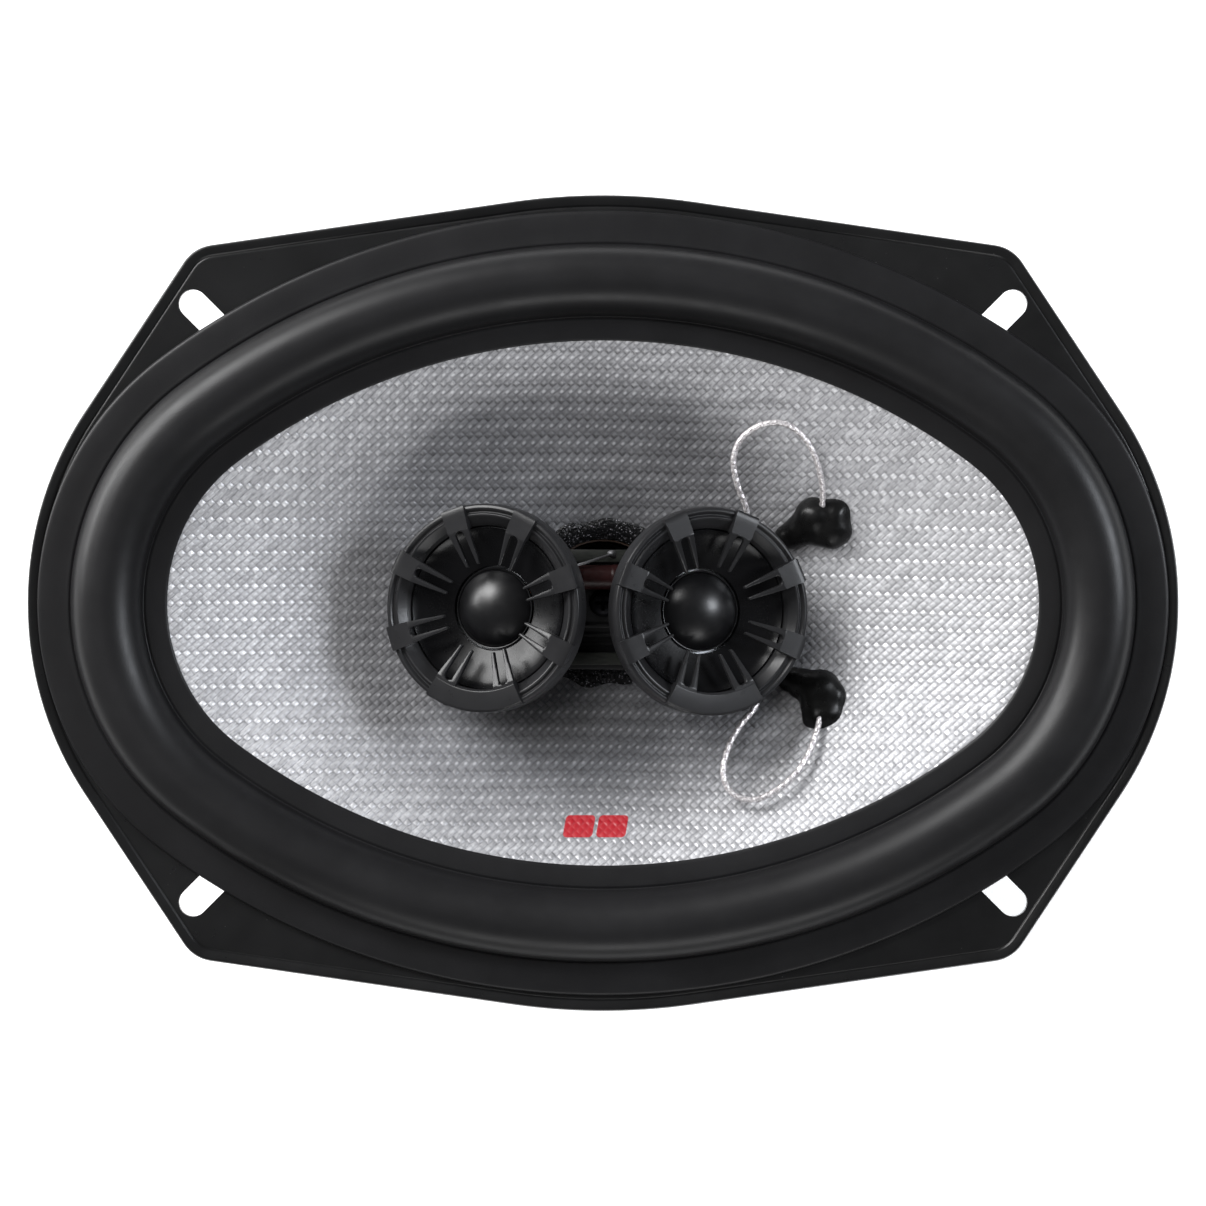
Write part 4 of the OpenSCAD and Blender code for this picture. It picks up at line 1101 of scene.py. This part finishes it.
def build_claw(angle):
    """A tab on the rim that splits into two thin fins reaching in over the horn."""
    slope = tan(radians(19.5))
    tip_r, split_r, rim_r = 9.1, 16.4, BEZEL_R - 0.06
    radii = np.concatenate([
        [tip_r, tip_r + 0.12], np.linspace(tip_r + 0.4, 15.2, 12),
        15.4 + np.sin(np.linspace(0.2, 1.5, 6)),
        [split_r, 16.6, 17.4, 18.6, 19.8, 20.7, 21.0, 21.16, rim_r],
    ])
    columns = 4
    tops, bottoms = [], []
    for r in radii:
        outer = np.interp(r, [tip_r, 15.6, split_r, rim_r - 0.4, rim_r], [1.5, 2.2, 2.28, 2.56, 2.4])
        inner = 1.0 if r < 15.4 else sqrt(max(0.0, 1 - (min(r, split_r) - 15.4) ** 2))
        if r < tip_r + 0.1:
            outer, inner = outer - 0.12, inner + 0.08
        drop = max(0.0, split_r - 0.2 - r) * slope
        dome = -0.35 * max(0.0, (r - 20.3) / 1.0) ** 2
        thick = 1.15 if r < split_r else 2.2
        row_top, row_bottom = [], []
        for k in range(columns + 1):
            y = inner + (outer - inner) * k / columns
            crown = -0.1 * (2 * k / columns - 1) ** 2 if r < split_r else 0
            row_top.append((r, y, -drop + dome + crown))
            row_bottom.append((r, y, -drop - thick))
        tops.append(row_top)
        bottoms.append(row_bottom)
    verts, faces = [], []
    for flip in (1, -1):
        base = len(verts)
        rows = len(radii)
        width = columns + 1
        for layer in (tops, bottoms):
            verts += [(x, y * flip, z) for row in layer for x, y, z in row]
        low = base + rows * width
        for i in range(rows - 1):
            for k in range(columns):
                a = i * width + k
                quad = (a, a + 1, a + width + 1, a + width)
                faces.append(tuple(base + q for q in quad))
                faces.append(tuple(low + q for q in quad))
            a, b = i * width + columns, (i + 1) * width + columns
            faces.append((base + a, base + b, low + b, low + a))
            a, b = i * width, (i + 1) * width
            if abs(tops[i][0][1]) > 1e-6 or abs(tops[i + 1][0][1]) > 1e-6:
                faces.append((base + a, base + b, low + b, low + a))
        for i in (0, rows - 1):
            for k in range(columns):
                a = i * width + k
                faces.append((base + a, base + a + 1, low + a + 1, low + a))
    claw = make("claw", verts, faces, 30)
    return put(soften(claw, 0.14, 30, 48), Matrix.Rotation(angle, 4, "Z"))


def build_bezel(name, side):
    """A ring, eight claws, and a plain raised plate across the two lowest."""
    ring = turned("ring", [
        (WELL_R, -5, 0.3), (BEZEL_R, -5, 0.3), (BEZEL_R, -2.1, 0.35), (BEZEL_R - 0.25, -1.0, 0.3),
        (BEZEL_R - 1.0, -0.72, 0.3), (BEZEL_R - 1.45, -1.5, 0.2), (BEZEL_R - 1.75, -1.5, 0.2),
        (BEZEL_R - 2.1, -1.02, 0.25), (BEZEL_R - 2.5, -1.15, 0.3), (BEZEL_R - 3.9, -2.75, 0.3),
        (WELL_R, -3.5, 0.2),
    ], 160, sharp=40, arc=3)
    claws = [build_claw(radians(22.5 + 45 * i)) for i in range(8)]
    low, high = radians(240), radians(300)
    steps = 36
    section = fillet([
        (16.6, -2.2, 0.2), (BEZEL_R - 0.04, -2.2, 0.2), (BEZEL_R - 0.04, -0.35, 0.3),
        (BEZEL_R - 0.5, 0.05, 0.3), (17.0, 0.05, 0.35), (16.6, -0.5, 0.3),
    ])
    points = []
    for i in range(steps + 1):
        t = low + (high - low) * i / steps
        points.append([(r * cos(t), r * sin(t), z) for r, z in section])
    bezel = joined(f"{name}_bezel", ring, bar("badge_plate", points, 30), *claws)
    return put(bezel, tweeter_place(side) @ Matrix.Rotation(TWIST[name], 4, "Z"))


def horn_outline():
    """The horn's section: mouth at the well, throat round the dome."""
    curve = []
    for i in range(13):
        f = i / 12
        curve.append((16.5 - (16.5 - 8.75) * f, -3.75 - 3.75 * f ** 0.7))
    return [(8.75, -9.3), (16.7, -9.3, 0.3), (16.7, -3.85, 0.15)] + curve


def dome_outline():
    """The section of a thin ball cap with a half roll round it."""
    shell, height, foot_z = 0.35, 4.0, -7.9
    ball = (DOME_R ** 2 + height ** 2) / (2 * height)
    centre = height - ball + foot_z
    outer, inner = [], []
    reach = asin((DOME_R - 0.25) / ball)
    for i in range(22):
        a = reach * i / 21
        outer.append((ball * sin(a), centre + ball * cos(a)))
        inner.append(((ball - shell) * sin(a), centre + (ball - shell) * cos(a)))
    roll = [(7.85, -7.95), (7.95, -7.72), (8.1, -7.56), (8.22, -7.55), (8.3, -7.7), (8.3, -8.18)]
    return outer + roll + [(7.2, -8.18)] + inner[::-1]


for name, side in SIDES:
    place = tweeter_place(side)
    finish_piece(build_bezel(name, side), BEZEL_PLASTIC, "root", "bezel_plastic", f"{name}_tweeter_bezel")
    housing = turned(f"{name}_housing", [
        (0, -HOUSING_D), (11.5, -HOUSING_D, 0.8), (13.4, -14.2, 0.6), (13.9, -14.4, 0.3), (18.3, -9.2, 1.0),
        (18.5, -8.6, 0.5), (20.3, -7.5, 0.6), (20.3, -6.6, 0.2), (19.9, -6.5, 0.15), (19.9, -6.1, 0.15),
        (20.5, -6.0, 0.2), (20.5, -5.02, 0.2), (WELL_R + 0.02, -5.02), (WELL_R + 0.02, -9.5),
        (10, -9.5), (10, -14.6), (0, -14.6),
    ], 128, place)
    finish_piece(housing, HOUSING_PLASTIC, "root", "tweeter_plastic", f"{name}_tweeter_housing")
    horn = turned(f"{name}_horn", horn_outline(), 128, place, sharp=50)
    finish_piece(horn, GLASS_BLACK, "root", "gloss_black_plastic", f"{name}_waveguide")
    dome = turned(f"{name}_dome_cap", dome_outline(), 96, place, sharp=60)
    finish_piece(dome, DOME_FILM, f"{name}_diaphragm", "dome_film", f"{name}_dome")

# ---- Bridge, its parts and the post's screw ----


def housing_floor(x):
    """Height of a leaning housing's flat back at the distance x from the middle."""
    foot_x = SPACING / 2 - HOUSING_D * sin(TILT)
    foot_z = FACE_Z - HOUSING_D * cos(TILT)
    return foot_z - (x - foot_x) * tan(TILT)


def build_bridge():
    """A block with an arm up to each tweeter, a shelf and a step for each tag strip, and ribs."""
    block = box_mesh("block", (-9, -9, BRIDGE_Z - BLOCK_H), (9, 9, BRIDGE_Z), 0.7)
    parts = []
    for flip in (-1, 1):
        side = [
            (6, BRIDGE_Z - BLOCK_H + 2), (14, BRIDGE_Z - BLOCK_H + 4.4), (27, housing_floor(27) - 2.6),
            (27, housing_floor(27)), (10, housing_floor(10)), (8.6, housing_floor(10) - 0.8),
            (7.6, BRIDGE_Z - 1), (6, BRIDGE_Z - 1),
        ]
        arm = plate("arm", [(flip * x, z) for x, z in side][::flip], -8, 8, 0.5)
        parts.append(put(arm, Matrix.Rotation(pi / 2, 4, "X")))
        y0, y1 = sorted((flip * 9.6, flip * 12.4))
        parts.append(box_mesh("shelf", (-8, y0, BRIDGE_Z - 3), (8, y1, BRIDGE_Z + 1.48), 0.35))
        y0, y1 = sorted((flip * 8, flip * 10.4))
        parts.append(box_mesh("step", (-7.8, y0, BRIDGE_Z - 2.9), (7.8, y1, BRIDGE_Z - 0.2), 0.3))
    # low ribs across the block, on the side away from the capacitor
    for i in range(3):
        y = -3.4 - 1.9 * i
        low, high = (-7.4, y - 0.35, BRIDGE_Z - 0.3), (7.4, y + 0.35, BRIDGE_Z + 0.4)
        parts.append(box_mesh("rib", low, high, 0.2))
    bridge = joined("tweeter_bridge_body", block, *parts)
    return put(bridge, shifted(BRIDGE_X, BRIDGE_Y, 0) @ Matrix.Rotation(BRIDGE_TURN, 4, "Z"))


finish_piece(build_bridge(), BRIDGE_PLASTIC, "root", "bridge_plastic", "tweeter_bridge")


def build_screw():
    head = turned("screw_head", [
        (0, BRIDGE_Z), (2.9, BRIDGE_Z, 0.15), (2.85, BRIDGE_Z + 0.9, 0.5), (2.3, BRIDGE_Z + 1.7, 0.6),
        (1.4, BRIDGE_Z + 2.1, 0.4), (0, BRIDGE_Z + 2.2),
    ], 48)
    # a cross recess
    slots = [
        box_mesh("bar", (-x, -y, BRIDGE_Z + 1.1), (x, y, BRIDGE_Z + 3), 0)
        for x, y in ((1.6, 0.35), (0.35, 1.6))
    ]
    return cut(head, *slots)


finish_piece(build_screw(), BLACK_SCREW, "root", "black_screw", "post_screw")


def build_capacitor():
    r, length = 2.65, 11.0
    end = [(0, 0), (r - 0.9, 0, 0.2), (r, 0.9, 0.7), (r, 2.2, 0.4), (r - 0.12, 2.6, 0.3)]
    far_end = [(x, length - z, *rounding) for x, z, *rounding in reversed(end)]
    place = shifted(BRIDGE_X - length / 2, 5.3, BRIDGE_Z + 2.7) @ Matrix.Rotation(pi / 2, 4, "Y")
    return turned("capacitor_body", end + far_end, 48, place)


finish_piece(build_capacitor(), CAPACITOR_RESIN, "root", "capacitor_resin", "capacitor")


WIRE_D = 0.55
STRIP_TOP = BRIDGE_Z + 2.5


def wire(name, *route):
    """A bare wire through the points of the route."""
    obj = tube(name, smooth_path(route, 0.3)[0], WIRE_D / 2, 10)
    return finish_piece(obj, WIRE_SILVER, "root", "tinned_steel")


for name, y_low, y_high, material in (
    ("upper_tag_strip", 8.4, 11.0, TAG_BOARD),
    ("lower_tag_strip", -12.8, -10.2, DARK_BOARD),
):
    low, high = (BRIDGE_X - 13, y_low, BRIDGE_Z + 1.5), (BRIDGE_X + 11, y_high, STRIP_TOP)
    finish_piece(box_mesh(f"{name}_board", low, high, 0.18), material, "root", "tag_board", name)


def solder(name, x, y, z, r, seed):
    """A wetted mound of solder."""
    uneven = wobble(seed, 4, 1, 5)
    profile = [
        (0, 0), (r * 1.15, 0), (r * 1.05, 0.12), (r * 0.72, 0.42 * r), (r * 0.35, 0.68 * r), (0, 0.76 * r),
    ]

    def wave(t, rr, zz):
        return rr * (1 + 0.1 * uneven(t)), zz

    obj = turned(name, profile, 36, shifted(x, y, z), wave, 60)
    return finish_piece(obj, SOLDER, "root", "tinned_steel")


for name, x, y, r, seed in (
    ("solder_upper_lead", 8.5, 9.5, 1.15, 21), ("solder_lower_lead", 8.5, -11.5, 1.15, 22),
    ("solder_upper_left", -9.2, 9.7, 0.95, 23), ("solder_upper_middle", 1.9, 10.1, 0.8, 24),
    ("solder_lower_left", -8.0, -11.5, 0.95, 25),
):
    solder(name, x, y, STRIP_TOP, r, seed)
wire(
    "bare_link", (-6.6, 5.3, -11.3), (-7.6, 5.6, -10.9), (-6.9, 6.9, -9.6), (-5.6, 7.7, -9.1),
    (-3.2, 8.4, -9.3), (-0.6, 9.3, -10.1), (1.3, 9.9, -10.9), (1.9, 10.1, -11.4),
)
wire(
    "capacitor_tail", (4.3, 5.3, -11.3), (5.6, 5.4, -11.3), (6.4, 6.6, -10.7), (7.2, 8.2, -10.6),
    (8.0, 9.2, -11.3),
)

# ---- Motor ----

top_plate = turned("top_plate_disc", [
    (GAP_R, MAGNET_Z, 0.2), (42, MAGNET_Z, 0.7), (42, PLATE_Z, 0.7), (GAP_R, PLATE_Z, 0.2),
], 160)
finish_piece(top_plate, PLATED_STEEL, "root", "plated_steel", "top_plate")

boot = turned("magnet_boot_shell", [
    (0, REST_Z + 0.35), (9, REST_Z + 0.35, 0.4), (9.8, REST_Z, 0.3), (14, REST_Z, 0.3),
    (14.8, REST_Z + 0.45, 0.3), (33, REST_Z + 0.45, 0.3), (33.8, REST_Z, 0.3), (44.8, REST_Z, 2.2),
    (47.1, REST_Z + 2.4, 1.6), (47.1, BACK_Z + 3.0, 0.4), (46.6, BACK_Z + 3.6, 0.3),
    (46.6, BACK_Z + 5.2, 0.3), (47.1, BACK_Z + 5.8, 0.4),
    (47.1, MAGNET_Z - 1.2, 0.6), (46.3, MAGNET_Z - 0.25, 0.4), (45.1, MAGNET_Z - 0.25, 0.2),
    (45.1, REST_Z + 2, 0.3), (0, REST_Z + 2),
], 180, arc=5)
finish_piece(boot, BOOT_RUBBER, "root", "boot_rubber", "magnet_boot")

# ---- Terminal board, spades and their solder ----

BOARD_TOP = LANDING_Z + 1.6


def drilled(obj, x, y, r, z_low, z_high, steps):
    """The object with a round hole through it."""
    hole = turned("hole", [(0, z_low), (r, z_low), (r, z_high), (0, z_high)], steps, shifted(x, y, 0))
    return cut(obj, hole)


board_outline = fillet([(53, -14, 0.8), (69, -14, 1.6), (69, 14, 1.6), (53, 14, 0.8)], 5)
board = plate("terminal_board_plate", board_outline, LANDING_Z, BOARD_TOP, 0.18)
for y in (-7, 7):
    drilled(board, 60, y, 1.5, LANDING_Z - 1, LANDING_Z + 3, 32)
finish_piece(board, PHENOLIC, "root", "board_phenolic", "terminal_board")


def build_spade(name, y, width):
    half = width / 2
    outline = fillet([
        (56, -3, 0.6), (64, -3, 0.5), (66, -half, 0.5), (75, -half, 0.3), (76, 1 - half, 0.4),
        (76, half - 1, 0.4), (75, half, 0.3), (66, half, 0.5), (64, 3, 0.5), (56, 3, 0.6),
    ], 3)
    blade = plate(name, [(x, y + v) for x, v in outline], BOARD_TOP, BOARD_TOP + 0.8, 0.14)
    for x, r in ((60, 1.5), (73, 0.8)):
        drilled(blade, x, y, r, BOARD_TOP - 1, BOARD_TOP + 2, 28)
    return blade


for name, y, width, material, slot in (
    ("positive", 7, 6.3, TINNED_BRASS, "tinned_brass"),
    ("negative", -7, 4.8, TINNED_STEEL, "tinned_steel"),
):
    finish_piece(build_spade(f"{name}_spade", y, width), material, "root", slot, f"{name}_terminal")
for name, y, seed in (("positive", 7, 26), ("negative", -7, 27)):
    solder(f"solder_{name}", 56.95, y, LANDING_Z + 2.4, 0.85, seed)

# ---- Finishes of the CAD nodes that stay ----

CARRIED = {
    "basket_rivets": RIVET_STEEL, "terminal_rivets": RIVET_BRASS, "ferrite_magnet": FERRITE,
    "back_plate_and_pole": POLE_STEEL, "dust_seal": FOAM, "bridge_post": POST_FINISH,
    "coil_former": COIL_PAPER, "coil_winding": COPPER,
}
for name, _ in SIDES:
    CARRIED[f"{name}_tweeter_yoke"] = POLE_STEEL
    CARRIED[f"{name}_tweeter_magnet"] = NICKEL
    CARRIED[f"{name}_pole_plate"] = POLE_STEEL
    CARRIED[f"{name}_dome_coil"] = COPPER
for node_name, material in CARRIED.items():
    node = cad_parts[node_name]
    if not node.material_slots:
        node.data.materials.append(material)
    for slot in node.material_slots:
        slot.material = material

# ---- Floor and light ----

floor_paint = Paint(
    "pale_floor", (0.86, 0.86, 0.87), 0.85, Emission_Color=(1, 1, 1, 1), Emission_Strength=0.4,
)
floor_paint.colour(floor_paint.ramp(floor_paint.noise(0.004), (0.3, 0.84), (0.7, 0.88)))
floor_bm = bmesh.new()
bmesh.ops.create_grid(floor_bm, x_segments=8, y_segments=8, size=1.6)
floor = from_bmesh("floor", floor_bm)
floor.location = (0, 0, REST_Z * MM)
floor.data.materials.append(floor_paint.mat)


def softbox(name, place, width, height, power, colour=(1, 1, 1)):
    """A rectangular light in metres and watts that faces the middle of the front."""
    data = bpy.data.lights.new(name, "AREA")
    data.shape = "RECTANGLE"
    data.size, data.size_y = width, height
    data.energy = power
    data.color = colour
    light = placed(name, data)
    light.location = place
    light.rotation_euler = (-Vector(place)).to_track_quat("-Z", "Y").to_euler()
    return light


softbox("upper_left_box", (-0.78, 0.78, 0.64), 0.62, 0.7, 27)
softbox("left_glow", (-1.05, 0.42, 0.2), 0.5, 0.3, 10)
softbox("right_box", (1.0, 0.25, 0.62), 0.34, 0.34, 11.5, (0.9, 0.94, 1))
softbox("lower_fill", (0.1, -1.0, 0.5), 0.9, 0.3, 5)
top_fill = softbox("top_fill", (-0.25, 0.16, 1.12), 0.5, 0.4, 7)
# it only opens the shadows, and leaves no highlight of its own on the black parts
top_fill.visible_glossy = False
world = bpy.data.worlds.new("studio")
world.use_nodes = True
background = world.node_tree.nodes["Background"]
background.inputs["Color"].default_value = (1, 1, 1, 1)
background.inputs["Strength"].default_value = 0.08
scene.world = world
scene.view_settings.view_transform = "Standard"
